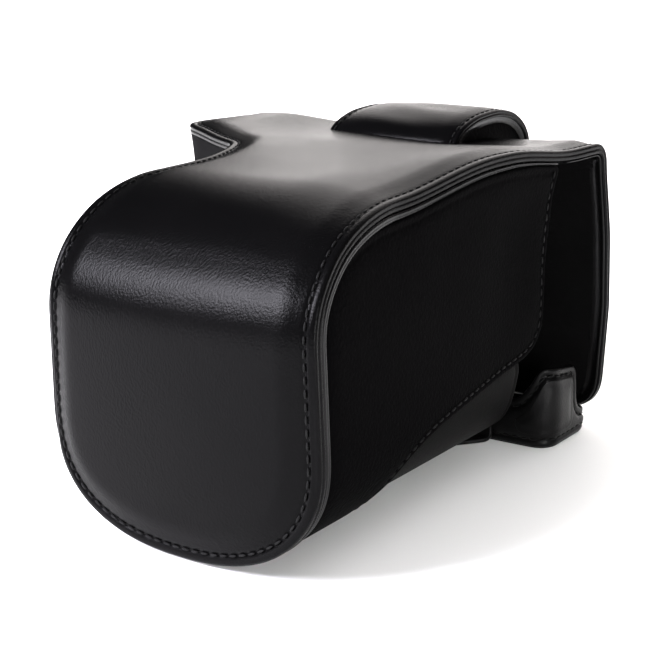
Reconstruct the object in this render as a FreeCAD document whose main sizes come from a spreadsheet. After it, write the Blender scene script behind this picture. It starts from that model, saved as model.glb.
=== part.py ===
import FreeCAD, Part
import math
import os
import Sketcher
from FreeCAD import Placement, Rotation, Vector

# Ever-ready case for a mirrorless camera with a zoom lens, in millimetres.
# +Z is up, the lens nose points to -Y, X runs along the camera body.
# The origin lies on the floor under the middle of the bounding box.

SIZES = (
    # overall shape
    ("case_length", 136.6),
    ("case_height", 92.5),
    ("nose_front", -88.15),
    ("lens_offset", 25.0),
    ("rear_inner", 58.35),
    ("rear_bulge", 6.0),
    # padded front and top panel
    ("panel_skin", 3.0),
    ("front_bend", 35.5),
    ("front_half", 43.7),
    ("front_half_bend", 43.0),
    ("front_half_top", 39.4),
    ("front_corner", 27.0),
    ("front_side_start", 33.2),
    ("right_half_rear", 41.5),
    ("crease_y", 36.0),
    ("crease_gap", 0.6),
    ("shoulder_corner", 9.0),
    ("cusp_radius", 4.5),
    # flange, gussets and bottom panel
    ("flange_skin", 1.6),
    ("flange_width", 5.0),
    ("gusset_skin", 1.6),
    ("gusset_half_low", 42.0),
    ("gusset_half_top", 37.5),
    ("gusset_half_rear", 40.0),
    ("trough_corner", 30.0),
    ("bottom_skin", 1.6),
    ("lining_skin", 0.8),
    ("seam_lap", 6.0),
    # back flap
    ("flap_skin", 1.6),
    ("flap_board", 1.2),
    ("flap_end", 5.5),
    ("flap_corner", 12.0),
    ("flap_bend", 6.0),
    ("rim_width", 4.5),
    ("rim_skin", 0.8),
    # viewfinder hump
    ("hump_middle", 4.5),
    ("hump_width", 48.8),
    ("hump_front", 37.3),
    ("hump_crest_y", 68.0),
    ("hump_crest_z", 97.5),
    ("hump_rear", 88.15),
    ("hump_skin", 2.2),
    ("cap_skin", 1.8),
    ("cap_rim", 4.4),
    # half-case
    ("tray_length", 131.0),
    ("tray_front", 31.8),
    ("tray_rear", 57.0),
    ("tray_corner", 5.0),
    ("tray_skin", 1.6),
    ("tray_front_height", 14.6),
    ("tray_low_height", 8.0),
    ("ear_height", 25.4),
    ("ear_rear", 51.5),
    ("board_skin", 2.2),
    ("patch_skin", 0.9),
    # cover hinge strap and its press stud
    ("hinge_y", 27.0),
    ("hinge_z", 0.9),
    ("strap_width", 44.0),
    ("strap_skin", 1.4),
    ("hinge_gap", 0.35),
    ("stud_radius", 5.5),
    # hidden magnets
    ("magnet_length", 22.0),
    ("magnet_height", 2.6),
    ("magnet_skin", 0.8),
    ("magnet_middle", 40.0),
    # captive camera screw
    ("screw_y", 44.4),
    ("screw_radius", 3.175),
    ("head_radius", 7.0),
    ("head_skin", 1.2),
    ("bore_gap", 0.45),
    ("plate_radius", 9.6),
    ("clip_radius", 5.4),
    ("clip_skin", 0.8),
    ("screw_reach", 5.6),
)

doc = FreeCAD.newDocument("EverReadyCase")
sheet = doc.addObject("Spreadsheet::Sheet", "Sizes")
for row, (alias, number) in enumerate(SIZES, 1):
    sheet.set("A%d" % row, alias)
    sheet.set("B%d" % row, "%g" % number)
    sheet.setAlias("B%d" % row, alias)
doc.recompute()


def text_of(thing):
    return thing.text if isinstance(thing, Term) else "%.8g" % thing


def value_of(thing):
    return thing.value if isinstance(thing, Term) else float(thing)


class Term:
    # A size carried both as a sheet expression and as its present number.
    def __init__(self, text, value):
        self.text = text
        self.value = float(value)

    def join(self, sign, other, value):
        return Term("(%s %s %s)" % (self.text, sign, text_of(other)), value)

    def __add__(self, other):
        return self.join("+", other, self.value + value_of(other))

    def __sub__(self, other):
        return self.join("-", other, self.value - value_of(other))

    def __mul__(self, other):
        return self.join("*", other, self.value * value_of(other))

    def __truediv__(self, other):
        return self.join("/", other, self.value / value_of(other))

    def __neg__(self):
        return Term("(0 - %s)" % self.text, -self.value)

    def __radd__(self, other):
        return as_term(other) + self

    def __rsub__(self, other):
        return as_term(other) - self

    def __rmul__(self, other):
        return as_term(other) * self

    def root(self):
        return Term("sqrt(%s)" % self.text, math.sqrt(self.value))


def size(alias):
    return Term("Sizes." + alias, sheet.get(alias))


def as_term(thing):
    return thing if isinstance(thing, Term) else Term(text_of(thing), thing)


# ---- drawing and growing helpers -------------------------------------------

def new_body(label):
    body = doc.addObject("PartDesign::Body", label)
    body.Label = label
    body.Placement = Placement()
    return body


def arc_between(a, b, radius):
    # Minor arc from a to b, counter-clockwise for a positive radius.
    run = math.hypot(b[0] - a[0], b[1] - a[1])
    side = 1.0 if radius > 0 else -1.0
    rise = math.sqrt(max(radius * radius - run * run / 4, 0.0)) * side
    cx = (a[0] + b[0]) / 2 - (b[1] - a[1]) / run * rise
    cy = (a[1] + b[1]) / 2 + (b[0] - a[0]) / run * rise
    first, last = (a, b) if radius > 0 else (b, a)
    start = math.atan2(first[1] - cy, first[0] - cx)
    stop = math.atan2(last[1] - cy, last[0] - cx)
    circle = Part.Circle(Vector(cx, cy, 0), Vector(0, 0, 1), abs(radius))
    return Part.ArcOfCircle(circle, start, stop)


def draw(body, name, role, offset, outlines):
    # Each outline is a closed run of corners (x, y) or (x, y, radius of the
    # arc arriving there). A single (x, y, radius) on its own is a circle.
    sketch = body.newObject("Sketcher::SketchObject", body.Label + "_" + name)
    plane = [o for o in body.Origin.OriginFeatures if o.Role == role][0]
    sketch.AttachmentSupport = [(plane, "")]
    sketch.MapMode = "FlatFace"
    sketch.AttachmentOffset = Placement(Vector(0, 0, value_of(offset)), Rotation())
    sketch.setExpression(".AttachmentOffset.Base.z", as_term(offset).text)
    rules = []
    sizes = []

    def rule(what, expression):
        sizes.append((len(rules), as_term(expression).text))
        rules.append(what)

    rule_for = Sketcher.Constraint
    for outline in outlines:
        spots = [(value_of(c[0]), value_of(c[1])) for c in outline]
        if len(outline) == 1:
            x, y, radius = outline[0]
            at = Vector(spots[0][0], spots[0][1], 0)
            ring = Part.Circle(at, Vector(0, 0, 1), value_of(radius))
            n = sketch.addGeometry(ring, False)
            rule(rule_for("DistanceX", -1, 1, n, 3, spots[0][0]), x)
            rule(rule_for("DistanceY", -1, 1, n, 3, spots[0][1]), y)
            rule(rule_for("Radius", n, value_of(radius)), radius)
            continue
        joins = []
        for i, corner in enumerate(outline):
            a, b = spots[i - 1], spots[i]
            if len(corner) == 2:
                edge = Part.LineSegment(Vector(*a, 0), Vector(*b, 0))
                n = sketch.addGeometry(edge, False)
                joins.append((n, 1, 2))
                continue
            radius = as_term(corner[2])
            n = sketch.addGeometry(arc_between(a, b, radius.value), False)
            joins.append((n, 1, 2) if radius.value > 0 else (n, 2, 1))
            length = radius if radius.value > 0 else -radius
            rule(rule_for("Radius", n, length.value), length)
        for i, corner in enumerate(outline):
            n, _, end = joins[i]
            follower, begin, _ = joins[(i + 1) % len(outline)]
            rules.append(rule_for("Coincident", n, end, follower, begin))
            rule(rule_for("DistanceX", -1, 1, n, end, spots[i][0]), corner[0])
            rule(rule_for("DistanceY", -1, 1, n, end, spots[i][1]), corner[1])
    base = sketch.ConstraintCount
    sketch.addConstraint(rules)
    for index, expression in sizes:
        sketch.setExpression("Constraints[%d]" % (base + index), expression)
    return sketch


def grow(body, sketch, length, both=False, back=False):
    pad = body.newObject("PartDesign::Pad", sketch.Label + "_pad")
    pad.Profile = sketch
    pad.Length = value_of(length)
    pad.setExpression("Length", as_term(length).text)
    pad.Midplane = both
    pad.Reversed = back
    return pad


def cut(body, sketch, length=None, back=False):
    # Without a length the cut runs through everything both ways.
    pocket = body.newObject("PartDesign::Pocket", sketch.Label + "_cut")
    pocket.Profile = sketch
    if length is None:
        pocket.Type = 1
        pocket.Midplane = True
    else:
        pocket.Length = value_of(length)
        pocket.setExpression("Length", as_term(length).text)
        pocket.Reversed = back
    return pocket


def loft(body, first, last):
    solid = body.newObject("PartDesign::AdditiveLoft", body.Label + "_loft")
    solid.Profile = first
    solid.Sections = [last]
    solid.Ruled = True
    return solid


def round_edges(body, label, radius, wanted):
    # Fillets every edge of the tip whose middle and ends pass the test.
    doc.recompute()
    tip = body.Tip
    names = []
    for number, edge in enumerate(tip.Shape.Edges, 1):
        if wanted(edge):
            names.append("Edge%d" % number)
    fillet = body.newObject("PartDesign::Fillet", body.Label + "_" + label)
    fillet.Base = (tip, names)
    fillet.Radius = value_of(radius)
    fillet.setExpression("Radius", as_term(radius).text)
    return fillet


def box_outline(x0, y0, x1, y1):
    return [(x1, y0), (x1, y1), (x0, y1), (x0, y0)]


def frame_around(outline, reach=400):
    return [box_outline(-reach, -reach, reach, reach), outline]


LENS = size("lens_offset")
TOP = size("case_height")
FRONT = size("nose_front")
HALF = size("case_length") / 2
BEND = size("front_bend")
CREASE = size("crease_y")


# ---- shared outlines -------------------------------------------------------

def band(near, far, rear):
    # Side view of a sheet following the front, the bend and the top,
    # between two depths below the outer face.
    bend_y = FRONT + BEND
    bend_z = TOP - BEND
    floor = -3
    return [
        (FRONT + near, bend_z),
        (bend_y, TOP - near, -(BEND - near)),
        (rear, TOP - near),
        (rear, TOP - far),
        (bend_y, TOP - far),
        (FRONT + far, bend_z, BEND - far),
        (FRONT + far, floor),
        (FRONT + near, floor),
    ]


def front_outline(inset):
    # Rounded tongue seen from the front, standing on the floor.
    half = size("front_half") - inset
    low = as_term(inset)
    side = size("front_side_start")
    corner = size("front_corner") - inset
    reach = half - corner
    rise = side - low
    arc = (reach * reach + rise * rise - corner * corner) / ((rise - corner) * 2)
    lean = (arc - rise) / (arc - corner)
    drift = reach / (arc - corner)
    join_x = reach + corner * drift
    join_z = side - corner * lean
    at_bend = size("front_half_bend") - inset
    at_top = size("front_half_top") - inset
    shoulder = TOP - BEND
    return [
        (LENS + join_x, join_z, arc),
        (LENS + half, side, corner),
        (LENS + at_bend, shoulder),
        (LENS + at_top, TOP - inset * 0.3),
        (LENS + at_top, TOP + 20),
        (LENS - at_top, TOP + 20),
        (LENS - at_top, TOP - inset * 0.3),
        (LENS - at_bend, shoulder),
        (LENS - half, side),
        (LENS - join_x, join_z, corner),
    ]


def plan_outline(inset):
    # Top sheet seen from above: nose, right edge, rear, left shoulder, cusp.
    wide = size("front_half") + 4
    neck = size("front_half_top") - inset
    right = size("right_half_rear") - inset
    bend_y = FRONT + BEND
    back = size("rear_inner") + 40
    left = inset - HALF
    return [
        (LENS + wide, FRONT - 6),
        (LENS + wide, bend_y),
        (LENS + neck, bend_y),
        (LENS + right, CREASE - 7),
        (HALF - inset, size("rear_inner")),
        (HALF - inset, back),
        (left, back),
        (left, size("rear_inner")),
        (left + 1.6, CREASE - 4),
        (left + 8.0 - inset * 0.45, CREASE - 14 + inset * 0.85,
         size("shoulder_corner") - inset),
        (left + 37.5 - inset * 0.45, CREASE - 32.5 + inset * 0.85),
        (left + 42.5, CREASE - 39 + inset * 0.2, -(size("cusp_radius") + inset)),
        (left + 49.5, CREASE - 58),
        (LENS - neck, bend_y),
        (LENS - wide, bend_y),
        (LENS - wide, FRONT - 6),
    ]


def trim_sheet(body, inset):
    # Cuts a sheet to the tongue outline in front and the plan outline on top.
    front = draw(body, "front_outline", "XZ_Plane", -(FRONT + BEND),
                 frame_around(front_outline(inset)))
    cut(body, front, BEND + 20, back=True)
    plan = draw(body, "plan_outline", "XY_Plane", 0,
                frame_around(plan_outline(inset)))
    cut(body, plan)


# ---- cover: padded tongue, lining, flanges ---------------------------------

def make_tongue():
    rear = CREASE - size("crease_gap") / 2
    body = new_body("front_top_panel")
    grow(body, draw(body, "side", "YZ_Plane", 0,
                    [band(as_term(0), size("panel_skin"), rear)]),
         size("case_length") + 20, both=True)
    trim_sheet(body, as_term(0))
    return body


def make_tongue_lining():
    rear = CREASE - size("crease_gap") / 2
    near = size("panel_skin")
    body = new_body("front_top_lining")
    grow(body, draw(body, "side", "YZ_Plane", 0,
                    [band(near, near + size("lining_skin"), rear)]),
         size("case_length") + 20, both=True)
    trim_sheet(body, size("flange_width") + 0.4)
    return body


def make_flange(label, side):
    # Turned flange of the gusset, sewn under the rim of the padded panel.
    rear = CREASE - size("crease_gap") / 2 - 2
    near = size("panel_skin")
    body = new_body(label)
    grow(body, draw(body, "side", "YZ_Plane", 0,
                    [band(near, near + size("flange_skin"), rear)]),
         size("case_length") + 20, both=True)
    trim_sheet(body, as_term(0.3))
    width = size("flange_width")
    front = draw(body, "front_window", "XZ_Plane", -(FRONT + BEND),
                 [front_outline(width)])
    cut(body, front, BEND + 20, back=True)
    plan = draw(body, "plan_window", "XY_Plane", 0, [plan_outline(width)[2:14]])
    cut(body, plan)
    edge = LENS + 300 * side
    half = draw(body, "other_half", "XZ_Plane", 0,
                [box_outline(LENS - 300 * side, -50, LENS, 200)]
                if side > 0 else [box_outline(LENS, -50, LENS + 300, 200)])
    cut(body, half)
    return body


# ---- cover: gussets and bottom panel ---------------------------------------

def trough_half(body, name, y, side, inset, skin, low, top):
    # Half of the U-shaped trough section at one station along the nose.
    corner = size("trough_corner")
    half_low = low - inset
    half_top = top - inset
    near = as_term(inset)
    far = near + skin
    high = TOP + 5
    flip = as_term(side)

    def across(distance):
        return LENS + flip * distance

    outline = [
        (across(0), near),
        (across(half_low - corner + inset), near),
        (across(half_low), corner, (corner - inset) * side),
        (across(half_low - 0.8), TOP - BEND),
        (across(half_top), high),
        (across(half_top - skin), high),
        (across(half_low - skin - 0.8), TOP - BEND),
        (across(half_low - skin), corner),
        (across(half_low - corner + inset), far, -(corner - inset - skin) * side),
        (across(0), far),
    ]
    return draw(body, name, "XZ_Plane", -y, [outline])


def inner_side_profile(depth, rear_edge):
    # Side view of the room under the sheet, closed by the given rear edge.
    return [
        (FRONT + depth, -3),
        (FRONT + depth, TOP - BEND),
        (FRONT + BEND, TOP - depth, -(BEND - depth)),
    ] + rear_edge


def gusset_edge(lift, top_rear):
    # Free rear edge, rounded lower corner and the long slanting seam.
    return [
        (CREASE - 3.2, top_rear),
        (CREASE - 6.4, TOP * 0.70),
        (CREASE - 7.2, TOP * 0.51),
        (CREASE - 18.0, TOP * 0.36 + lift, -15),
        (CREASE - 66.0, TOP * 0.275 + lift),
        (CREASE - 84.0, TOP * 0.20 + lift, 60),
        (CREASE - 104.0, -3, 60),
    ]


def make_gusset_right():
    depth = size("panel_skin") + size("flange_skin")
    skin = size("gusset_skin")
    body = new_body("gusset_right")
    low = size("gusset_half_low")
    first = trough_half(body, "front", FRONT + 2, 1, 0, skin, low,
                        size("gusset_half_top"))
    rear = size("gusset_half_rear")
    last = trough_half(body, "rear", CREASE, 1, 0, skin, rear, rear)
    loft(body, first, last)
    side = draw(body, "edge", "YZ_Plane", 0,
                frame_around(inner_side_profile(depth, gusset_edge(0, TOP - depth))))
    cut(body, side)
    return body


def make_gusset_left():
    # Left wall of the nose, then the wall in front of the camera grip.
    depth = size("panel_skin") + size("flange_skin")
    skin = size("gusset_skin")
    body = new_body("gusset_left")
    low = size("gusset_half_low")
    first = trough_half(body, "front", FRONT + 2, -1, 0, skin, low,
                        size("gusset_half_top"))
    flare = size("gusset_half_rear") + 8
    last = trough_half(body, "rear", CREASE - 34, -1, 0, skin, flare, flare)
    loft(body, first, last)
    edge = [
        (CREASE - 36, TOP - depth),
        (CREASE - 36, TOP * 0.36),
        (CREASE - 42, TOP * 0.30, -6),
        (CREASE - 66.0, TOP * 0.275),
        (CREASE - 84.0, TOP * 0.20, 60),
        (CREASE - 104.0, -3, 60),
    ]
    side = draw(body, "edge", "YZ_Plane", 0,
                frame_around(inner_side_profile(depth, edge)))
    cut(body, side)
    outer = plan_outline(as_term(1.9))[8:13]
    inner = plan_outline(as_term(1.9) + skin)[8:13]
    ring = outer[:-1] + [
        (LENS - flare + 1.2, CREASE - 41),
        (LENS - flare + 1.2 + skin, CREASE - 41),
        (inner[3][0], inner[3][1]),
        (inner[2][0], inner[2][1], size("cusp_radius") + 1.9 + skin),
        (inner[1][0], inner[1][1]),
        (inner[0][0], inner[0][1], -(size("shoulder_corner") - 1.9 - skin)),
    ]
    wall_sketch = draw(body, "shoulder", "XY_Plane", TOP * 0.27, [ring])
    grow(body, wall_sketch, TOP * 0.73 - depth)
    return body


def make_bottom_panel():
    skin = size("bottom_skin")
    inset = size("gusset_skin")
    body = new_body("bottom_panel")
    for name, side in (("right", 1), ("left", -1)):
        low = size("gusset_half_low")
        first = trough_half(body, name + "_front", FRONT + 2, side, inset, skin,
                            low, size("gusset_half_top"))
        rear = size("gusset_half_rear")
        last = trough_half(body, name + "_rear", CREASE, side, inset, skin,
                           rear, rear)
        loft(body, first, last)
    lap = size("seam_lap")
    side = draw(body, "edge", "YZ_Plane", 0, frame_around(bottom_profile(lap)))
    cut(body, side)
    return body


def bottom_profile(lap):
    # Side view of the panel under the nose, lapped behind the gusset edge.
    return [
        (CREASE - 18.0, TOP * 0.36 + lap),
        (CREASE - 66.0, TOP * 0.275 + lap),
        (CREASE - 84.0, TOP * 0.20 + lap, 60),
        (CREASE - 104.0 - lap, -3, 60),
        (CREASE - 11.0, -3),
        (CREASE - 11.0, 3.4),
        (CREASE - 17.0, 13.7),
        (CREASE - 19.5, 24.5, -24),
    ]


def make_gusset_lining_right():
    skin = size("lining_skin")
    inset = size("gusset_skin")
    depth = size("panel_skin") + size("flange_skin")
    body = new_body("gusset_lining_right")
    low = size("gusset_half_low")
    first = trough_half(body, "front", FRONT + 2, 1, inset, skin, low,
                        size("gusset_half_top"))
    rear = size("gusset_half_rear")
    last = trough_half(body, "rear", CREASE, 1, inset, skin, rear, rear)
    loft(body, first, last)
    lift = size("seam_lap") + 0.4
    edge = [
        (CREASE - 5.0, TOP - depth - 1),
        (CREASE - 8.4, TOP * 0.70),
        (CREASE - 9.2, TOP * 0.51),
        (CREASE - 20.0, TOP * 0.36 + lift, -15),
        (CREASE - 66.0, TOP * 0.275 + lift),
        (CREASE - 84.0, TOP * 0.20 + lift, 60),
        (CREASE - 112.0, 6, 60),
        (CREASE - 112.0, -3),
    ]
    side = draw(body, "edge", "YZ_Plane", 0,
                frame_around(inner_side_profile(depth + 1, edge)))
    cut(body, side)
    return body


def make_bottom_lining():
    skin = size("lining_skin")
    inset = size("gusset_skin") + size("bottom_skin")
    body = new_body("bottom_lining")
    for name, side in (("right", 1), ("left", -1)):
        low = size("gusset_half_low")
        first = trough_half(body, name + "_front", FRONT + 2, side, inset, skin,
                            low, size("gusset_half_top"))
        rear = size("gusset_half_rear")
        last = trough_half(body, name + "_rear", CREASE, side, inset, skin,
                           rear, rear)
        loft(body, first, last)
    edge = [
        (CREASE - 21.0, TOP * 0.36 + 3),
        (CREASE - 66.0, TOP * 0.275 + 3),
        (CREASE - 84.0, TOP * 0.20 + 3, 60),
        (CREASE - 104.0 - 3, -3, 60),
        (CREASE - 14.0, -3),
        (CREASE - 14.0, 5),
        (CREASE - 19.0, 14.0),
        (CREASE - 21.0, 24.5),
    ]
    side = draw(body, "edge", "YZ_Plane", 0, frame_around(edge))
    cut(body, side)
    return body


def make_strap_front():
    # Strap under the bottom panel; its rounded end rolls on the hinge line.
    skin = size("strap_skin")
    z = size("hinge_z")
    y = size("hinge_y")
    body = new_body("hinge_strap_front")
    side = [
        (y, z - skin / 2),
        (y, z + skin / 2, skin / 2 * 1.0001),
        (y - 24, z + skin / 2),
        (y - 24, z - skin / 2),
    ]
    grow(body, draw(body, "side", "YZ_Plane", LENS, [side]),
         size("strap_width"), both=True)
    return body


# ---- back flap -------------------------------------------------------------

def flap_plan(near, far, inset, front):
    # Plan of a flap layer between two depths outside the bowed inner face.
    half = HALF - inset
    bulge = size("rear_bulge")
    arc = (HALF * HALF + bulge * bulge) / (bulge * 2)
    centre = size("rear_inner") + bulge - arc
    outer_arc = arc + far
    outer = centre + (outer_arc * outer_arc - half * half).root()
    if front is None:
        inner_arc = arc + near
        inner = centre + (inner_arc * inner_arc - half * half).root()
        return [
            (half, outer),
            (-half, outer, outer_arc),
            (-half, inner),
            (half, inner, -inner_arc),
        ]
    return [
        (half, outer),
        (-half, outer, outer_arc),
        (-half, front),
        (half, front),
    ]


FLAP_LAYERS = size("lining_skin") + size("flap_board") + size("flap_skin")


def hump_window(body):
    # Opening under the viewfinder hump, through the top and the rear.
    inner = size("hump_width") / 2 - size("cap_skin") - 0.4
    middle = size("hump_middle")
    window = draw(body, "hump_window", "XZ_Plane", -(size("hump_front") + 6),
                  [box_outline(middle - inner, TOP - 11, middle + inner, TOP + 9)])
    cut(body, window, 60)


def flap_back_outline(inset, low):
    half = HALF - inset
    corner = size("flap_corner") - inset
    return [
        (half - corner, low),
        (half, low + corner, corner),
        (half, TOP + 20),
        (-half, TOP + 20),
        (-half, low + corner),
        (corner - half, low, corner),
    ]


def bend_sheet(body, level, rear, skin, radius):
    # Rounds the inside, then the outside, where the top turns down the back.
    for name, depth, reach in (("inner_bend", skin, radius - skin),
                               ("outer_bend", 0, radius)):
        height = value_of(level - depth)
        nearest = value_of(rear - depth) - 0.5

        def wanted(edge):
            box = edge.BoundBox
            flat = abs(box.ZMin - height) < 0.01 and abs(box.ZMax - height) < 0.01
            return flat and box.YMin > nearest and box.XLength > 50

        round_edges(body, name, reach, wanted)


def make_flap_outer():
    body = new_body("back_flap_outer")
    start = CREASE + size("crease_gap") / 2
    low = size("flap_end")
    grow(body, draw(body, "plan", "XY_Plane", low,
                    [flap_plan(0, FLAP_LAYERS, 0, start)]), TOP - low)
    plan = plan_outline(as_term(0))
    cut(body, draw(body, "sides", "XY_Plane", 0, frame_around(plan)))
    hollow = draw(body, "hollow", "XY_Plane", TOP - size("flap_skin"),
                  [flap_plan(0, FLAP_LAYERS - size("flap_skin"), -20, start - 20)])
    cut(body, hollow, TOP)
    bend_sheet(body, TOP, size("rear_inner") + FLAP_LAYERS, size("flap_skin"),
               size("flap_bend"))
    back = draw(body, "back_outline", "XZ_Plane", -(size("rear_inner") - 2),
                frame_around(flap_back_outline(as_term(0), low)))
    cut(body, back, 30)
    hump_window(body)
    return body


def make_flap_layer(label, near, far, inset, low, high, top_strip):
    # Board or lining behind the outer leather of the flap.
    body = new_body(label)
    start = CREASE + size("crease_gap") / 2 + 0.6
    if top_strip:
        grow(body, draw(body, "plan", "XY_Plane", low,
                        [flap_plan(0, far, inset, start)]), high - low)
        hollow = draw(body, "hollow", "XY_Plane", high - size("lining_skin"),
                      [flap_plan(0, near, -20, start - 20)])
        cut(body, hollow, TOP)
        bend_sheet(body, high, size("rear_inner") + far, far - near,
                   size("flap_bend") - size("flap_skin"))
    else:
        grow(body, draw(body, "plan", "XY_Plane", low,
                        [flap_plan(near, far, inset, None)]), high - low)
    back = draw(body, "back_outline", "XZ_Plane", -(size("rear_inner") - 2),
                frame_around(flap_back_outline(inset, low)))
    cut(body, back, 30)
    hump_window(body)
    return body


def make_flap_rim():
    # Raised binding along the free edges of the flap.
    body = new_body("flap_rim")
    low = size("flap_end")
    high = TOP - size("flap_bend") - 0.3
    grow(body, draw(body, "plan", "XY_Plane", low,
                    [flap_plan(FLAP_LAYERS, FLAP_LAYERS + size("rim_skin"), 0, None)]),
         high - low)
    shift = -(size("rear_inner") - 2)
    cut(body, draw(body, "outline", "XZ_Plane", shift,
                   frame_around(flap_back_outline(as_term(0), low))), 30)
    width = size("rim_width")
    cut(body, draw(body, "inner_outline", "XZ_Plane", shift,
                   [flap_back_outline(width, low + width)]), 30)
    return body


def make_flap_magnet(label, side):
    # Thin bar between the lining and the leather, low on the flap.
    body = new_body(label)
    low = size("flap_end") + 1.6
    near = size("lining_skin")
    grow(body, draw(body, "plan", "XY_Plane", low,
                    [flap_plan(near, near + size("magnet_skin"), 0, None)]),
         size("magnet_height"))
    middle = size("magnet_middle") * side
    half = size("magnet_length") / 2
    cut(body, draw(body, "ends", "XY_Plane", 0,
                   frame_around(box_outline(middle - half, 0, middle + half, 100))))
    return body


# ---- viewfinder hump -------------------------------------------------------

def hump_profile(inset, caps):
    # Side view of the hump, from its front foot over the crest to the rear.
    front = size("hump_front")
    crest_y = size("hump_crest_y")
    crest_z = size("hump_crest_z")
    rear = size("hump_rear") - inset
    run = crest_y - front
    rise = crest_z - TOP
    fore = (run * run + rise * rise) / (rise * 2)
    drop = crest_z - TOP + 7
    over = size("hump_rear") - crest_y
    aft = (over * over + drop * drop) / (drop * 2)
    fore_in = fore - inset
    fall = fore - rise
    foot = crest_y - (fore_in * fore_in - fall * fall).root()
    outer = size("rear_inner") + FLAP_LAYERS + size("rear_bulge")
    bend = size("flap_bend")
    path = [
        (foot, TOP),
        (crest_y, crest_z - inset, -fore_in),
        (rear, TOP - 7, -(aft - inset)),
        (rear - 2.2, TOP - 10 + inset * 0.9, inset * 0.5 - 3.4),
    ]
    if caps:
        return path + [
            (outer + 0.1, TOP - 16.5 + inset),
            (outer + 0.1, TOP - bend),
            (outer - bend, TOP + 0.1, bend + 0.1),
            (outer - bend, TOP),
        ]
    return path + [(outer - 8, TOP - 18.5 + inset), (outer - 8, TOP)]


def make_hump_band(label, inset, skin, side_gap):
    body = new_body(label)
    width = size("hump_width") - size("cap_skin") * 2 - side_gap * 2
    middle = size("hump_middle")
    grow(body, draw(body, "outer", "YZ_Plane", middle,
                    [hump_profile(as_term(inset), False)]), width, both=True)
    reach = as_term(inset) + skin
    inner = hump_profile(reach, False)
    room = inner[:-2] + [(inner[-2][0] - 12, inner[-2][1] - 3.8),
                         (inner[-2][0] - 12, TOP - 30), (0, TOP - 30), (0, TOP)]
    inside = draw(body, "inner", "YZ_Plane", middle, [room])
    cut(body, inside)
    plan = flap_plan(0, FLAP_LAYERS + 0.02, -20, 0)
    shift = draw(body, "flap_side", "XY_Plane", TOP - 6.5, [plan])
    cut(body, shift, 60)
    return body


def make_hump_cap(label, side):
    body = new_body(label)
    edge = size("hump_middle") + (size("hump_width") / 2) * side
    start = edge - size("cap_skin") * side
    sketch = draw(body, "face", "YZ_Plane", start,
                  [hump_profile(as_term(0), True)])
    grow(body, sketch, size("cap_skin"), back=side < 0)
    return body


def make_hump_welt(label, side):
    # Flanged seam standing around the D-shaped cap.
    body = new_body(label)
    edge = size("hump_middle") + (size("hump_width") / 2) * side
    width = size("cap_rim")
    outer = hump_profile(as_term(0), True)
    grow(body, draw(body, "face", "YZ_Plane", edge, [outer]), 1.0,
         back=side < 0)
    inner = hump_profile(width, False)[:3]
    rear = size("rear_inner") + FLAP_LAYERS + size("rear_bulge")
    window = inner + [(rear + 1.5, TOP - 11.5), (rear + 1.5, TOP - 3),
                      (rear - 6, TOP)]
    cut(body, draw(body, "window", "YZ_Plane", edge, [window]))
    return body


# ---- half-case -------------------------------------------------------------

def rounded_box(x0, y0, x1, y1, radius):
    return [
        (x1 - radius, y0), (x1, y0 + radius, radius),
        (x1, y1 - radius), (x1 - radius, y1, radius),
        (x0 + radius, y1), (x0, y1 - radius, radius),
        (x0, y0 + radius), (x0 + radius, y0, radius),
    ]


def tray_plan(inset):
    half = size("tray_length") / 2 - inset
    return rounded_box(-half, size("tray_front") + inset, half,
                       size("tray_rear") - inset, size("tray_corner") - inset)


def make_tray():
    body = new_body("half_case_shell")
    ear = size("ear_height")
    skin = size("tray_skin")
    grow(body, draw(body, "plan", "XY_Plane", 0, [tray_plan(0)]), ear)
    inner = draw(body, "inside", "XY_Plane", skin, [tray_plan(skin)])
    cut(body, inner, ear + 10, back=True)
    shape_tray(body, as_term(0))
    bore = draw(body, "head_hole", "XY_Plane", 0,
                [[(LENS, size("screw_y"), size("head_radius") + 0.5)]])
    cut(body, bore)
    return body


def shape_tray(body, drop):
    half = size("tray_length") / 2
    front = size("tray_front_height") - drop
    low = size("tray_low_height") - drop
    ear = size("ear_height") - drop
    tall = size("ear_height") + 20
    notch = [
        (half - 6.5, front),
        (half - 4.4, front + 6.0),
        (half - 2.4, ear - 0.6),
        (half - 2.4, tall),
        (-(half - 2.4), tall),
        (-(half - 2.4), ear - 0.6),
        (-(half - 4.4), front + 6.0),
        (-(half - 6.5), front),
    ]
    cut(body, draw(body, "front_notch", "XZ_Plane", 0, [notch]))
    rear = size("ear_rear")
    step = [
        (rear, low + 2),
        (rear, ear - 6),
        (rear - 6, ear, 6),
        (rear - 6, tall),
        (rear + 30, tall),
        (rear + 30, low),
        (rear + 2, low),
    ]
    step[0] = (rear, low + 2, -2)
    cut(body, draw(body, "rear_step", "YZ_Plane", 0, [step]))


def make_tray_lining():
    body = new_body("half_case_lining")
    skin = size("tray_skin")
    lining = size("lining_skin")
    ear = size("ear_height")
    floor = skin + size("board_skin")
    grow(body, draw(body, "plan", "XY_Plane", floor, [tray_plan(skin)]),
         ear - floor - 1.2)
    inner = draw(body, "inside", "XY_Plane", floor + lining,
                 [tray_plan(skin + lining)])
    cut(body, inner, ear + 10, back=True)
    shape_tray(body, as_term(1.2))
    bore = draw(body, "plate_hole", "XY_Plane", 0,
                [[(LENS, size("screw_y"), size("clip_radius") + 0.6)]])
    cut(body, bore)
    magnet_slots(body)
    return body


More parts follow.
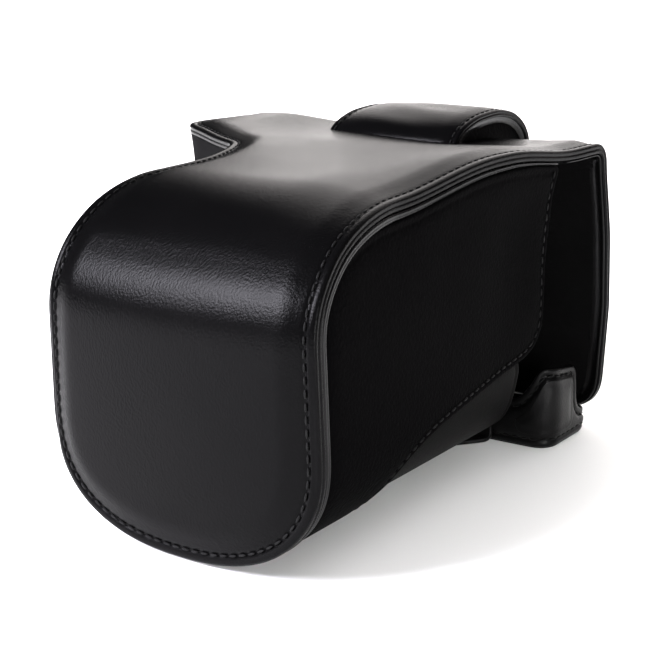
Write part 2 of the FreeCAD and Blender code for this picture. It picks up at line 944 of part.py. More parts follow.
def magnet_slots(body):
    # Shallow pockets in the lining for the bars sewn behind it.
    middle = size("magnet_middle")
    half = size("magnet_length") / 2 + 0.1
    y = size("tray_rear") - size("tray_skin")
    low = size("tray_low_height") - size("magnet_height") - 1.5
    slots = []
    for side in (1, -1):
        at = middle * side
        slots.append(box_outline(at - half, low, at + half,
                                 low + size("magnet_height") + 6))
    cut(body, draw(body, "magnet_slots", "XZ_Plane", -y, slots),
        size("lining_skin") + 0.05, back=True)


def make_board():
    # Stiff board in the base, glued between the leather and the lining.
    body = new_body("base_board")
    skin = size("tray_skin")
    grow(body, draw(body, "plan", "XY_Plane", skin, [tray_plan(skin)]),
         size("board_skin"))
    bore = draw(body, "plate_seat", "XY_Plane", 0,
                [[(LENS, size("screw_y"), size("plate_radius"))]])
    cut(body, bore)
    return body


def make_screw_plate():
    # Round metal plate that holds the captive screw in the base.
    body = new_body("screw_plate")
    skin = size("tray_skin")
    at = (LENS, size("screw_y"))
    low = size("tray_skin")
    plate = [[at + (size("plate_radius"),)]]
    high = skin + size("board_skin")
    grow(body, draw(body, "plate", "XY_Plane", low, plate), high - low)
    bore = [[at + (size("screw_radius") + size("bore_gap"),)]]
    cut(body, draw(body, "bore", "XY_Plane", 0, bore))
    seat = [[at + (size("head_radius") + 0.5,)]]
    cut(body, draw(body, "head_seat", "XY_Plane", low + 1.0, seat), 5)
    return body


def make_clip():
    # Split spring clip that keeps the screw in the plate.
    body = new_body("screw_clip")
    at = (LENS, size("screw_y"))
    low = size("tray_skin") + size("board_skin") + 0.02
    ring = [[at + (size("clip_radius"),)],
            [at + (size("screw_radius") - 0.35,)]]
    grow(body, draw(body, "ring", "XY_Plane", low, ring), size("clip_skin"))
    slot = box_outline(LENS - 1.2, size("screw_y"), LENS + 1.2,
                       size("screw_y") + 12)
    cut(body, draw(body, "split", "XY_Plane", 0, [slot]))
    return body


def make_screw():
    # Coin-slotted head below, quarter-inch shank above, groove for the clip.
    body = new_body("camera_screw")
    axis_y = size("screw_y")
    shank = size("screw_radius")
    head = size("head_radius")
    low = as_term(0.3)
    seat = low + size("head_skin")
    clip = size("tray_skin") + size("board_skin")
    tip = clip + size("clip_skin") + size("screw_reach")
    groove = shank - 0.65
    disc = [[(LENS, axis_y, head)]]
    grow(body, draw(body, "head", "XY_Plane", low, disc), size("head_skin"))
    grow(body, draw(body, "neck", "XY_Plane", seat - 0.2,
                    [[(LENS, axis_y, groove)]]), tip - seat + 0.2)
    grow(body, draw(body, "shank_low", "XY_Plane", seat - 0.2,
                    [[(LENS, axis_y, shank)]]), clip - 0.15 - seat + 0.2)
    over = clip + size("clip_skin") + 0.2
    grow(body, draw(body, "shank", "XY_Plane", over,
                    [[(LENS, axis_y, shank)]]), tip - over)
    slot = box_outline(LENS - head * 0.75, axis_y - 0.7, LENS + head * 0.75,
                       axis_y + 0.7)
    cut(body, draw(body, "coin_slot", "XY_Plane", low, [slot]), 0.9, back=True)
    return body


def make_patch(label, side):
    # Raised ear patch wrapped over the front corner of the half-case.
    body = new_body(label)
    skin = size("patch_skin")
    half = size("tray_length") / 2
    front = size("tray_front")
    corner = size("tray_corner")
    ear = size("ear_height")
    x_in = half - 12
    outer = [
        (x_in, front - skin),
        (half - corner, front - skin),
        (half + skin, front + corner, corner + skin),
        (half + skin, size("ear_rear") - 1),
        (half, size("ear_rear") - 1),
        (half, front + corner),
        (half - corner, front, -corner),
        (x_in, front),
    ]
    if side < 0:
        outer = [tuple([-c[0], c[1]] + [-r for r in c[2:]]) for c in outer]
    grow(body, draw(body, "plan", "XY_Plane", 0.8, [outer]), ear - 2.0)
    tall = ear + 20
    front_cut = [
        (half - 12.5, 2.4), (half - 12.5, tall), (half - 2.6, tall),
        (half - 2.6, ear - 2.0), (half - 5.4, ear - 6.0), (half - 7.6, 12.6),
        (half - 7.6, 5.4), (half - 9.6, 2.4),
    ]
    if side < 0:
        front_cut = [(-x, z) for x, z in front_cut]
    cut(body, draw(body, "front_edge", "XZ_Plane", 0, [front_cut]))
    rear = size("ear_rear") - 1
    side_cut = [
        (rear, ear - 8), (rear - 6, ear - 1.2, 6), (rear - 6, tall),
        (rear + 8, tall), (rear + 8, ear - 8),
    ]
    cut(body, draw(body, "rear_corner", "YZ_Plane", 0, [side_cut]))
    return body


def make_strap_rear():
    # Strap anchored on the front wall of the half-case.
    skin = size("strap_skin")
    z = size("hinge_z")
    y = size("hinge_y")
    front = size("tray_front")
    body = new_body("hinge_strap_rear")
    side = [
        (y + skin / 2 + size("hinge_gap"), z - skin / 2),
        (front, z - skin / 2),
        (front, size("tray_front_height") - 1.6),
        (front - skin, size("tray_front_height") - 1.6),
        (front - skin, z + skin / 2),
        (y + skin / 2 + size("hinge_gap"), z + skin / 2),
    ]
    grow(body, draw(body, "side", "YZ_Plane", LENS, [side]),
         size("strap_width"), both=True)
    return body


def make_stud(label, shift):
    # Domed press stud that fixes the strap to the half-case.
    body = new_body(label)
    y = size("tray_front") - size("strap_skin")
    z = size("tray_front_height") / 2 + 0.3
    disc = [[(LENS + shift, z, size("stud_radius"))]]
    grow(body, draw(body, "cap", "XZ_Plane", -y, disc), 1.0)

    def front_edge(edge):
        return abs(edge.BoundBox.YMax - (y.value - 1.0)) < 0.01

    round_edges(body, "dome", 0.7, front_edge)
    return body


def make_tray_magnet(label, side):
    body = new_body(label)
    middle = size("magnet_middle") * side
    half = size("magnet_length") / 2
    y = size("tray_rear") - size("tray_skin")
    low = size("tray_low_height") - size("magnet_height") - 1.4
    plan = box_outline(middle - half, y - size("magnet_skin"), middle + half, y)
    grow(body, draw(body, "plan", "XY_Plane", low, [plan]), size("magnet_height"))
    return body


def make_all():
    inset = size("gusset_skin")
    layer = size("lining_skin")
    board = layer + size("flap_board")
    bodies = [
        make_tongue(),
        make_tongue_lining(),
        make_flange("flange_right", 1),
        make_flange("flange_left", -1),
        make_gusset_right(),
        make_gusset_left(),
        make_bottom_panel(),
        make_gusset_lining_right(),
        make_bottom_lining(),
        make_strap_front(),
        make_flap_outer(),
        make_flap_layer("flap_board", layer, board, as_term(5.0),
                        size("flap_end") + 5, TOP - 24, False),
        make_flap_layer("flap_lining", as_term(0), layer, as_term(1.5),
                        size("flap_end") + 1.5, TOP - size("flap_skin"), True),
        make_flap_rim(),
        make_flap_magnet("flap_magnet_right", 1),
        make_flap_magnet("flap_magnet_left", -1),
        make_hump_band("hump_cover", 0, size("hump_skin"), 0),
        make_hump_band("hump_lining", size("hump_skin") + 0.3,
                       size("lining_skin"), 0.3),
        make_hump_cap("hump_cap_right", 1),
        make_hump_cap("hump_cap_left", -1),
        make_hump_welt("hump_welt_right", 1),
        make_hump_welt("hump_welt_left", -1),
        make_tray(),
        make_tray_lining(),
        make_board(),
        make_screw_plate(),
        make_clip(),
        make_screw(),
        make_patch("ear_patch_right", 1),
        make_patch("ear_patch_left", -1),
        make_strap_rear(),
        make_stud("strap_stud_right", 15),
        make_stud("strap_stud_left", -15),
        make_tray_magnet("case_magnet_right", 1),
        make_tray_magnet("case_magnet_left", -1),
    ]
    return bodies


bodies = make_all()
doc.recompute()
for item in doc.Objects:
    if "Invalid" in item.State or "Error" in item.State:
        raise RuntimeError("%s did not recompute" % item.Label)
os.makedirs("parts", exist_ok=True)
for body in bodies:
    if body.Shape.isNull() or not body.Shape.isValid():
        raise RuntimeError("%s has no valid shape" % body.Label)
    body.Shape.exportStep("parts/%s.step" % body.Label)
    print(body.Label, len(body.Shape.Solids), round(body.Shape.Volume, 1))
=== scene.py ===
import math
import bpy
import numpy as np
from mathutils import Matrix, Vector, geometry


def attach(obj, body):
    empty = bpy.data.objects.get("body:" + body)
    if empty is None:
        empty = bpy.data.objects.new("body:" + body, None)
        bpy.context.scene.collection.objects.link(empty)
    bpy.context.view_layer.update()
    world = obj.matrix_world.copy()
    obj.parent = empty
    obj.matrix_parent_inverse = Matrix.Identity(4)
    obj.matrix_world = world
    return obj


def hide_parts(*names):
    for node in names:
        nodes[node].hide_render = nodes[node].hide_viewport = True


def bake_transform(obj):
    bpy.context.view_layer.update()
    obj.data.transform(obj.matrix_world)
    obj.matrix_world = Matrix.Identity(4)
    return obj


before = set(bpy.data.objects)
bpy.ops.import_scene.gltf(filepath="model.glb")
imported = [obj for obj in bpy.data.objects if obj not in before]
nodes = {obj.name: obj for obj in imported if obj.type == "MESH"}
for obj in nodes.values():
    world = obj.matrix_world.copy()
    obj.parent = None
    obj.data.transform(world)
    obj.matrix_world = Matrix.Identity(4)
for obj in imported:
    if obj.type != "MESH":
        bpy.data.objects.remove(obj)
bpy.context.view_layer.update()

print("frame loaded:", len(nodes), "nodes")

mm = 0.001  # all making below is in millimetres

caseSize = {
    "lensX": 25.0, "front": -87.9, "top": 92.3, "half": 68.3,
    "crease": 36.0, "rear": 61.9, "rearBow": 6.0, "flapEnd": 5.5,
}
lensX = caseSize["lensX"]


def smoothStep(value):
    value = np.clip(value, 0.0, 1.0)
    return value * value * (3 - 2 * value)


def runLengths(points):
    return np.concatenate([[0], np.cumsum(np.linalg.norm(np.diff(points, axis=0), axis=1))])


def resample(points, step, closed=True):
    points = np.asarray(points, float)
    if closed:
        points = np.vstack([points, points[:1]])
    run = runLengths(points)
    count = max(int(round(run[-1] / step)), 3)
    at = np.linspace(0, run[-1], count + 1)
    if closed:
        at = at[:-1]
    return np.stack([np.interp(at, run, points[:, k]) for k in range(points.shape[1])], 1)


def roundCorners(corners, closed=True):
    # corners are (u, v, radius); a radius of 0 keeps the point as it is
    out = []
    count = len(corners)
    for i, corner in enumerate(corners):
        here = np.array(corner[:2], float)
        radius = corner[2] if len(corner) > 2 else 0.0
        if radius <= 0 or (not closed and i in (0, count - 1)):
            out.append(here)
            continue
        before = np.array(corners[i - 1][:2], float) - here
        after = np.array(corners[(i + 1) % count][:2], float) - here
        before /= np.linalg.norm(before)
        after /= np.linalg.norm(after)
        if np.linalg.norm(before + after) < 0.02:
            out.append(here)
            continue
        half = math.acos(np.clip(before @ after, -1, 1)) / 2
        reach = radius / math.tan(half)
        middle = here + (before + after) / np.linalg.norm(before + after) * radius / math.sin(half)
        first = here + before * reach - middle
        last = here + after * reach - middle
        startAngle = math.atan2(first[1], first[0])
        turn = math.atan2(last[1], last[0]) - startAngle
        turn = (turn + math.pi) % (2 * math.pi) - math.pi
        for part in np.linspace(0, 1, 9):
            angle = startAngle + turn * part
            out.append(middle + radius * np.array([math.cos(angle), math.sin(angle)]))
    return np.array(out)


def softenLine(points, rounds, closed=True):
    points = np.array(points, float)
    for _ in range(rounds):
        mean = (np.roll(points, 1, 0) + np.roll(points, -1, 0)) / 2
        moved = points * 0.5 + mean * 0.5
        if not closed:
            moved[0], moved[-1] = points[0], points[-1]
        points = moved
    return points


def insetLine(points, distance, closed=True):
    # moves a counter-clockwise line inwards
    along = np.roll(points, -1, 0) - np.roll(points, 1, 0)
    if not closed:
        along[0] = points[1] - points[0]
        along[-1] = points[-1] - points[-2]
    along /= np.linalg.norm(along, axis=1)[:, None]
    inward = np.stack([-along[:, 1], along[:, 0]], 1)
    return points + inward * distance


def countered(line):
    # the same line, counter-clockwise
    x, y = line[:, 0], line[:, 1]
    area = (x * np.roll(y, -1) - np.roll(x, -1) * y).sum()
    return line if area > 0 else line[::-1]


def distanceTo(line, points):
    # distance of each point from a closed line
    start = line
    step = np.roll(line, -1, 0) - line
    length = (step ** 2).sum(1)
    best = np.full(len(points), 1e9)
    for first in range(0, len(points), 2000):
        some = points[first:first + 2000, None, :] - start[None]
        part = np.clip((some * step[None]).sum(2) / length[None], 0, 1)
        gap = some - part[..., None] * step[None]
        best[first:first + 2000] = np.sqrt((gap ** 2).sum(2)).min(1)
    return best


def insideOf(line, points):
    x, y = points[:, 0], points[:, 1]
    inside = np.zeros(len(points), bool)
    x1, y1 = line[:, 0], line[:, 1]
    x2, y2 = np.roll(x1, -1), np.roll(y1, -1)
    for a, b, c, d in zip(x1, y1, x2, y2):
        cross = (b > y) != (d > y)
        if cross.any():
            at = (c - a) * (y - b) / (d - b + 1e-12) + a
            inside ^= cross & (x < at)
    return inside


def linked(name, data):
    piece = bpy.data.objects.new(name, data)
    bpy.context.scene.collection.objects.link(piece)
    return piece


def behind(place, depth):
    # the same surface, further inside the case
    return lambda flat, height: place(flat, np.asarray(height) - depth)


def makeMesh(name, points, faces, materials, faceSlots=None, smooth=True):
    mesh = bpy.data.meshes.new(name)
    mesh.from_pydata((np.asarray(points) * mm).tolist(), [], faces)
    for material in materials:
        mesh.materials.append(material)
    if faceSlots is not None:
        mesh.polygons.foreach_set("material_index", faceSlots)
    mesh.polygons.foreach_set("use_smooth", [smooth] * len(mesh.polygons))
    mesh.validate()
    mesh.update()
    return linked(name, mesh)


def profileHeight(distance, style):
    # height of the leather over its edge: flat strip, stitched groove, padding
    seam = style["seam"]
    height = style["pillow"] * smoothStep((distance - seam - 0.2) / style["reach"])
    height = height - style["groove"] * np.exp(-((distance - seam) / 0.55) ** 2)
    lip = style.get("lip", 0.1) * np.exp(-((distance - seam * 0.5) / (seam * 0.33)) ** 2)
    return height + lip


def leatherPanel(name, outline, place, style, materials, flip=False):
    # a closed sheet of leather filling an outline, with a turned, rounded edge.
    thick = style["thick"]
    edge = min(0.9, thick * 0.42)
    rings = style.get("rings", (1.3, 1.8, 2.2, 2.6, 3.0, 3.5, 4.2, 5.2, 6.6))
    outer = insetLine(outline, edge)
    loops = [outer]
    for depth in rings:
        ring = insetLine(outline, depth)
        keep = (distanceTo(outline, ring) > depth * 0.97) & insideOf(outline, ring)
        loops.append(ring[keep])
    spacing = style.get("spacing", 1.7)
    low, high = outline.min(0), outline.max(0)
    gridU, gridV = np.meshgrid(np.arange(low[0], high[0], spacing),
                               np.arange(low[1], high[1], spacing))
    grid = np.stack([gridU.ravel(), gridV.ravel()], 1)
    grid[:, 0] += (np.round(grid[:, 1] / spacing) % 2) * spacing * 0.5
    grid = grid[insideOf(outline, grid)]
    grid = grid[distanceTo(outline, grid) > rings[-1] + spacing * 0.6]
    flat = np.vstack(loops + [grid])
    count = len(outer)
    border = [(i, (i + 1) % count) for i in range(count)]
    result = geometry.delaunay_2d_cdt([Vector(p) for p in flat], border, [], 1, 1e-6)
    source = [origin[0] if origin else -1 for origin in result[3]]
    inside = [[source[k] for k in face] for face in result[2]]
    inside = [face for face in inside if min(face) >= 0]
    gaps = distanceTo(outline, flat)
    top = place(flat, profileHeight(gaps, style))
    bottom = place(flat, -thick + np.zeros(len(flat)))
    total = len(flat)
    points = [top, bottom]
    rim = []
    if style.get("double", True) and thick > 2:
        half = thick / 2
        turns = [(0.45, -0.08), (0.13, -0.35), (0.0, -half * 0.5), (0.12, -half * 0.86),
                 (0.24, -half), (0.12, -half * 1.12), (0.04, -half * 1.5),
                 (0.16, -thick + 0.3), (0.45, -thick + 0.06)]
    else:
        turns = [(edge * 0.5, -0.05), (edge * 0.15, -thick * 0.2), (0.0, -thick * 0.5),
                 (edge * 0.15, -thick * 0.8), (edge * 0.5, -thick + 0.05)]
    lift = float(profileHeight(np.array([edge]), style)[0])
    for depth, height in turns:
        scale = 1.0 - abs(height) / thick
        rim.append(place(insetLine(outline, depth), np.full(count, height + lift * scale)))
    start = total * 2
    faces = []
    slots = []
    for face in inside:
        faces.append(face if not flip else face[::-1])
        slots.append(0)
    for face in inside:
        back = [k + total for k in face]
        faces.append(back[::-1] if not flip else back)
        slots.append(1 if len(materials) > 1 else 0)
    ids = [np.arange(count)]
    for k in range(len(rim)):
        ids.append(np.arange(count) + start + k * count)
    ids.append(np.arange(count) + total)
    for upper, lower in zip(ids[:-1], ids[1:]):
        for i in range(count):
            j = (i + 1) % count
            quad = [int(upper[i]), int(lower[i]), int(lower[j]), int(upper[j])]
            faces.append(quad if not flip else quad[::-1])
            slots.append(0)
    return makeMesh(name, np.vstack(points + rim), faces, materials, slots)


def edgeStrip(name, line, section, place, material, flip=False):
    # a solid strip whose section (distance in from the edge, height) follows a line.
    rows = [place(insetLine(line, depth, closed=False), np.full(len(line), float(height)))
            for depth, height in section]
    count, wide = len(line), len(section)
    points = np.vstack(rows)
    faces = []
    for j in range(wide):
        k = (j + 1) % wide
        for i in range(count - 1):
            quad = [j * count + i, j * count + i + 1, k * count + i + 1, k * count + i]
            faces.append(quad if flip else quad[::-1])
    first = [j * count for j in range(wide)]
    last = [j * count + count - 1 for j in range(wide)]
    faces.append(first[::-1] if not flip else first)
    faces.append(last if not flip else last[::-1])
    return makeMesh(name, points, faces, [material])


class Wire:
    # A shader socket that takes part in sums.
    def __init__(self, tree, socket):
        self.tree = tree
        self.socket = socket

    def mix(self, operation, other, swapped=False):
        node = self.tree.nodes.new("ShaderNodeMath")
        node.operation = operation
        pair = (other, self) if swapped else (self, other)
        for slot, item in zip(node.inputs, pair):
            if isinstance(item, Wire):
                self.tree.links.new(item.socket, slot)
            else:
                slot.default_value = item
        return Wire(self.tree, node.outputs[0])

    def __add__(self, other):
        return self.mix("ADD", other)

    def __sub__(self, other):
        return self.mix("SUBTRACT", other)

    def __rsub__(self, other):
        return self.mix("SUBTRACT", other, True)

    def __mul__(self, other):
        return self.mix("MULTIPLY", other)

    __radd__ = __add__
    __rmul__ = __mul__


class Shade:
    # Builds one material's nodes.
    def __init__(self, name):
        self.material = bpy.data.materials.new(name)
        self.material.use_nodes = True
        self.tree = self.material.node_tree
        self.shader = self.tree.nodes["Principled BSDF"]

    def add(self, kind, settings=None, **values):
        node = self.tree.nodes.new("ShaderNode" + kind)
        for key, value in (settings or {}).items():
            if key == "stops":
                ramp = node.color_ramp
                while len(ramp.elements) < len(value):
                    ramp.elements.new(0.5)
                for element, (position, colour) in zip(ramp.elements, value):
                    element.position = position
                    element.color = colour
            else:
                setattr(node, key, value)
        for key, value in values.items():
            slot = node.inputs[key.replace("_", " ")]
            if isinstance(value, Wire):
                self.tree.links.new(value.socket, slot)
            else:
                slot.default_value = value
        return node

    def wire(self, node, output=0):
        return Wire(self.tree, node.outputs[output])

    def tint(self, factor, dark, light):
        tone = self.add("Mix", {"data_type": "RGBA"}, Factor=factor)
        tone.inputs[6].default_value = dark
        tone.inputs[7].default_value = light
        self.feed("Base Color", self.wire(tone, 2))

    def feed(self, slotName, value):
        slot = self.shader.inputs[slotName]
        if isinstance(value, Wire):
            self.tree.links.new(value.socket, slot)
        else:
            slot.default_value = value


def makeLeather(name, look):
    shade = Shade(name)
    place = shade.wire(shade.add("TexCoord"), "Object")
    stretched = shade.wire(shade.add("Mapping", Vector=place, Scale=look["stretch"]))
    warp = shade.add("TexNoise", Vector=place, Scale=260.0, Detail=2.0)
    bent = shade.wire(shade.add("VectorMath", {"operation": "MULTIPLY_ADD"}))
    bentNode = bent.socket.node
    shade.tree.links.new(warp.outputs["Color"], bentNode.inputs[0])
    bentNode.inputs[1].default_value = (look["warp"],) * 3
    shade.tree.links.new(stretched.socket, bentNode.inputs[2])
    pebble = shade.wire(shade.add("TexVoronoi", {"feature": "SMOOTH_F1"}, Vector=bent,
                                  Scale=look["grain"], Smoothness=0.35), "Distance")
    fine = shade.wire(shade.add("TexNoise", Vector=place, Scale=look["grain"] * 2.2,
                                Detail=3.0, Roughness=0.6), "Fac")
    broad = shade.wire(shade.add("TexNoise", Vector=place, Scale=28.0, Detail=3.0), "Fac")
    crease = shade.wire(shade.add("TexNoise", Vector=stretched, Scale=look["crease"],
                                  Detail=4.0, Roughness=0.55, Distortion=0.6), "Fac")
    height = pebble * look["pebbleDepth"] + fine * look["fineDepth"] + crease * look["creaseDepth"]
    bump = shade.add("Bump", Height=height, Strength=look["strength"], Distance=0.0004)
    rough = look["rough"] + (broad - 0.5) * look["roughSpread"] + (fine - 0.5) * 0.08
    shade.tint(broad, look["dark"], look["light"])
    shade.feed("Roughness", rough)
    shade.feed("Normal", shade.wire(bump))
    shade.feed("Specular IOR Level", look["specular"])
    return shade.material


def makeVelvet(name, look):
    shade = Shade(name)
    place = shade.wire(shade.add("TexCoord"), "Object")
    pile = shade.wire(shade.add("TexNoise", Vector=place, Scale=2600.0, Detail=2.0), "Fac")
    nap = shade.wire(shade.add("TexNoise", Vector=place, Scale=60.0, Detail=4.0), "Fac")
    bump = shade.add("Bump", Height=pile + nap * 0.6, Strength=0.5, Distance=0.0004)
    shade.tint(nap, look["dark"], look["light"])
    shade.feed("Roughness", 1.0)
    shade.feed("Normal", shade.wire(bump))
    shade.feed("Specular IOR Level", 0.02)
    shade.feed("Sheen Weight", look["sheen"])
    return shade.material


def makeMetal(name, look):
    shade = Shade(name)
    place = shade.wire(shade.add("TexCoord"), "Object")
    brushed = shade.wire(shade.add("Mapping", Vector=place, Scale=(1.0, 14.0, 1.0)))
    lines = shade.wire(shade.add("TexNoise", Vector=brushed, Scale=900.0, Detail=3.0), "Fac")
    bump = shade.add("Bump", Height=lines, Strength=0.15, Distance=0.0002)
    shade.tint(lines, look["dark"], look["light"])
    shade.feed("Metallic", look["metallic"])
    shade.feed("Roughness", look["rough"] + (lines - 0.5) * 0.15)
    shade.feed("Normal", shade.wire(bump))
    return shade.material


smoothLook = {
    "stretch": (1.0, 1.0, 1.0), "warp": 0.0006, "grain": 1500.0, "crease": 90.0,
    "pebbleDepth": 0.7, "fineDepth": 0.9, "creaseDepth": 0.28, "strength": 0.18,
    "dark": (0.0012, 0.0012, 0.0013, 1), "light": (0.0026, 0.0025, 0.0026, 1),
    "rough": 0.21, "roughSpread": 0.08, "specular": 0.036,
}
wrinkledLook = dict(smoothLook, grain=1100.0, crease=420.0, creaseDepth=0.7, pebbleDepth=1.0,
                    strength=0.4, stretch=(1.0, 1.0, 0.85), rough=0.5, specular=0.004,
                    dark=(0.0005, 0.0005, 0.0006, 1), light=(0.0017, 0.0016, 0.0017, 1))
edgeLook = dict(smoothLook, rough=0.26, strength=0.14, specular=0.11)
leatherTop = makeLeather("leatherSmooth", smoothLook)
leatherGusset = makeLeather("leatherWrinkled", wrinkledLook)
leatherEdge = makeLeather("leatherTurnedEdge", edgeLook)
leatherUnder = makeLeather("leatherUnderNose", dict(
    smoothLook, rough=0.45, specular=0.012, dark=(0.0018, 0.0018, 0.0018, 1),
    light=(0.0034, 0.0033, 0.0033, 1)))
leatherCase = makeLeather("leatherHalfCase", dict(smoothLook, rough=0.38, specular=0.1))
velvet = makeVelvet("blackVelvet", {"dark": (0.0012, 0.0012, 0.0012, 1),
                                    "light": (0.004, 0.0039, 0.004, 1), "sheen": 0.02})
threadLook = dict(smoothLook, grain=3000.0, rough=0.45, strength=0.3, specular=0.06,
                  dark=(0.004, 0.004, 0.004, 1), light=(0.01, 0.01, 0.01, 1))
thread = makeLeather("waxedThread", threadLook)
steel = makeMetal("brushedSteel", {"dark": (0.1, 0.1, 0.105, 1), "light": (0.2, 0.2, 0.2, 1),
                                   "metallic": 1.0, "rough": 0.3})
studPaint = makeMetal("blackStud", {"dark": (0.012, 0.012, 0.012, 1),
                                    "light": (0.03, 0.03, 0.03, 1), "metallic": 0.6, "rough": 0.35})
boardCard = makeMetal("pressedBoard", {"dark": (0.05, 0.048, 0.045, 1),
                                       "light": (0.09, 0.085, 0.08, 1),
                                       "metallic": 0.0, "rough": 0.8})
print("materials made")


stitchSize = {"pitch": 3.1, "length": 2.3, "thick": 0.34}


def stitchTree():
    tree = bpy.data.node_groups.new("stitchRun", "GeometryNodeTree")
    tree.interface.new_socket("Geometry", in_out="INPUT", socket_type="NodeSocketGeometry")
    for label in ("Pitch", "Stitch Length", "Thread Radius"):
        tree.interface.new_socket(label, in_out="INPUT", socket_type="NodeSocketFloat")
    tree.interface.new_socket("Geometry", in_out="OUTPUT", socket_type="NodeSocketGeometry")

    def add(kind, **values):
        node = tree.nodes.new(kind)
        for key, value in values.items():
            setattr(node, key, value)
        return node

    def join(a, out, b, slot):
        tree.links.new(a.outputs[out], b.inputs[slot])

    source = add("NodeGroupInput")
    curve = add("GeometryNodeMeshToCurve")
    even = add("GeometryNodeResampleCurve")
    even.mode = "LENGTH"
    bead = add("GeometryNodeMeshUVSphere")
    bead.inputs["Segments"].default_value = 6
    bead.inputs["Rings"].default_value = 5
    bead.inputs["Radius"].default_value = 1.0
    size = add("ShaderNodeCombineXYZ")
    halfLength = add("ShaderNodeMath", operation="MULTIPLY")
    halfLength.inputs[1].default_value = 0.5
    shape = add("GeometryNodeTransform")
    tangent = add("GeometryNodeInputTangent")
    turn = add("FunctionNodeAlignRotationToVector", axis="Z")
    scatter = add("GeometryNodeInstanceOnPoints")
    real = add("GeometryNodeRealizeInstances")
    finish = add("GeometryNodeSetMaterial")
    finish.inputs["Material"].default_value = thread
    sink = add("NodeGroupOutput")
    join(source, "Geometry", curve, "Mesh")
    join(curve, 0, even, "Curve")
    join(source, "Pitch", even, "Length")
    join(source, "Stitch Length", halfLength, 0)
    join(source, "Thread Radius", size, 0)
    join(source, "Thread Radius", size, 1)
    join(halfLength, 0, size, 2)
    join(bead, "Mesh", shape, "Geometry")
    join(size, 0, shape, "Scale")
    join(tangent, 0, turn, "Vector")
    join(even, 0, scatter, "Points")
    join(shape, 0, scatter, "Instance")
    join(turn, 0, scatter, "Rotation")
    join(scatter, 0, real, 0)
    join(real, 0, finish, "Geometry")
    join(finish, 0, sink, 0)
    return tree


stitchNodes = stitchTree()


def sewStitches(name, lines):
    # lines are runs of points in millimetres; the result is one mesh of threads
    points, edges = [], []
    for line in lines:
        start = len(points)
        points.extend((np.asarray(line) * mm).tolist())
        edges.extend((start + i, start + i + 1) for i in range(len(line) - 1))
    mesh = bpy.data.meshes.new(name + "Line")
    mesh.from_pydata(points, edges, [])
    carrier = linked(name + "Line", mesh)
    modifier = carrier.modifiers.new("stitches", "NODES")
    modifier.node_group = stitchNodes
    values = {"Pitch": stitchSize["pitch"] * mm, "Stitch Length": stitchSize["length"] * mm,
              "Thread Radius": stitchSize["thick"] * mm}
    for item in stitchNodes.interface.items_tree:
        if item.in_out == "INPUT" and item.name in values:
            modifier[item.identifier] = values[item.name]
    bpy.context.view_layer.update()
    ready = carrier.evaluated_get(bpy.context.evaluated_depsgraph_get())
    plain = bpy.data.meshes.new_from_object(ready)
    plain.polygons.foreach_set("use_smooth", [True] * len(plain.polygons))
    if not plain.materials:
        plain.materials.append(thread)
    bpy.data.objects.remove(carrier)
    return linked(name, plain)


def makePath(points):
    dense = resample(points, 0.5, closed=False)
    dense = softenLine(dense, 4, closed=False)
    along = np.gradient(dense, axis=0)
    along /= np.linalg.norm(along, axis=1)[:, None]
    normal = np.stack([-along[:, 1], along[:, 0]], 1)
    return {"run": runLengths(dense), "points": dense, "normal": normal}


def onPath(path, at, height):
    spot = np.stack([np.interp(at, path["run"], path["points"][:, k]) for k in (0, 1)], 1)
    out = np.stack([np.interp(at, path["run"], path["normal"][:, k]) for k in (0, 1)], 1)
    out /= np.linalg.norm(out, axis=1)[:, None]
    return spot + out * np.asarray(height)[:, None]


bendTop = {"y": -48.2, "z": 90.4, "startZ": 59.0}
nose = {"half": 43.7, "low": 33.2, "drop": 32.6, "wallHalf": 41.0, "wallDrop": 32.3,
        "power": 2 / 2.35}  # the round lower end follows a squarish oval


def sheetRoute():
    front, rear = caseSize["front"], caseSize["rear"]
    points = [(front, 0.0), (front, bendTop["startZ"])]
    wide = bendTop["y"] - front
    tall = bendTop["z"] - bendTop["startZ"]
    for angle in np.radians(np.arange(176, 89, -4)):
        points.append((bendTop["y"] + wide * math.cos(angle),
                       bendTop["startZ"] + tall * math.sin(angle)))
    for y in np.arange(-44, rear - 7, 4):
        lift = float(smoothStep((y - bendTop["y"]) / 75.0))
        points.append((y, bendTop["z"] + (caseSize["top"] - bendTop["z"]) * lift))
    for angle in np.radians(np.arange(90, -1, -10)):
        points.append((rear - 6 + 6 * math.cos(angle), caseSize["top"] - 6 + 6 * math.sin(angle)))
    points.append((rear, caseSize["flapEnd"]))
    return points


sheetPath = makePath(sheetRoute())
pathRun, pathPoints = sheetPath["run"], sheetPath["points"]
topPart = (pathPoints[:, 0] > -60) & (pathPoints[:, 1] > 80) & (pathPoints[:, 0] < 57)
backPart = (pathPoints[:, 0] > 60) & (pathPoints[:, 1] < 85)


def runAtY(y):
    return float(np.interp(y, pathPoints[topPart, 0], pathRun[topPart]))


def runAtBack(z):
    return float(np.interp(-z, -pathPoints[backPart, 1], pathRun[backPart]))


creaseRun = runAtY(caseSize["crease"])
rearRun = runAtY(55.0)
endRun = float(pathRun[-1])


softTop = {"sagX": [-50, 4, 30, 50, 69], "sag": [0, 2.4, 3.4, 3.0, 1.9], "droop": 2.2,
           "raised": 1.6, "leftCorner": 1.0, "ripple": 0.22}
frontSwell = {"rise": 2.8, "middle": 31.0, "halfWide": 42.0, "halfTall": 46.0}


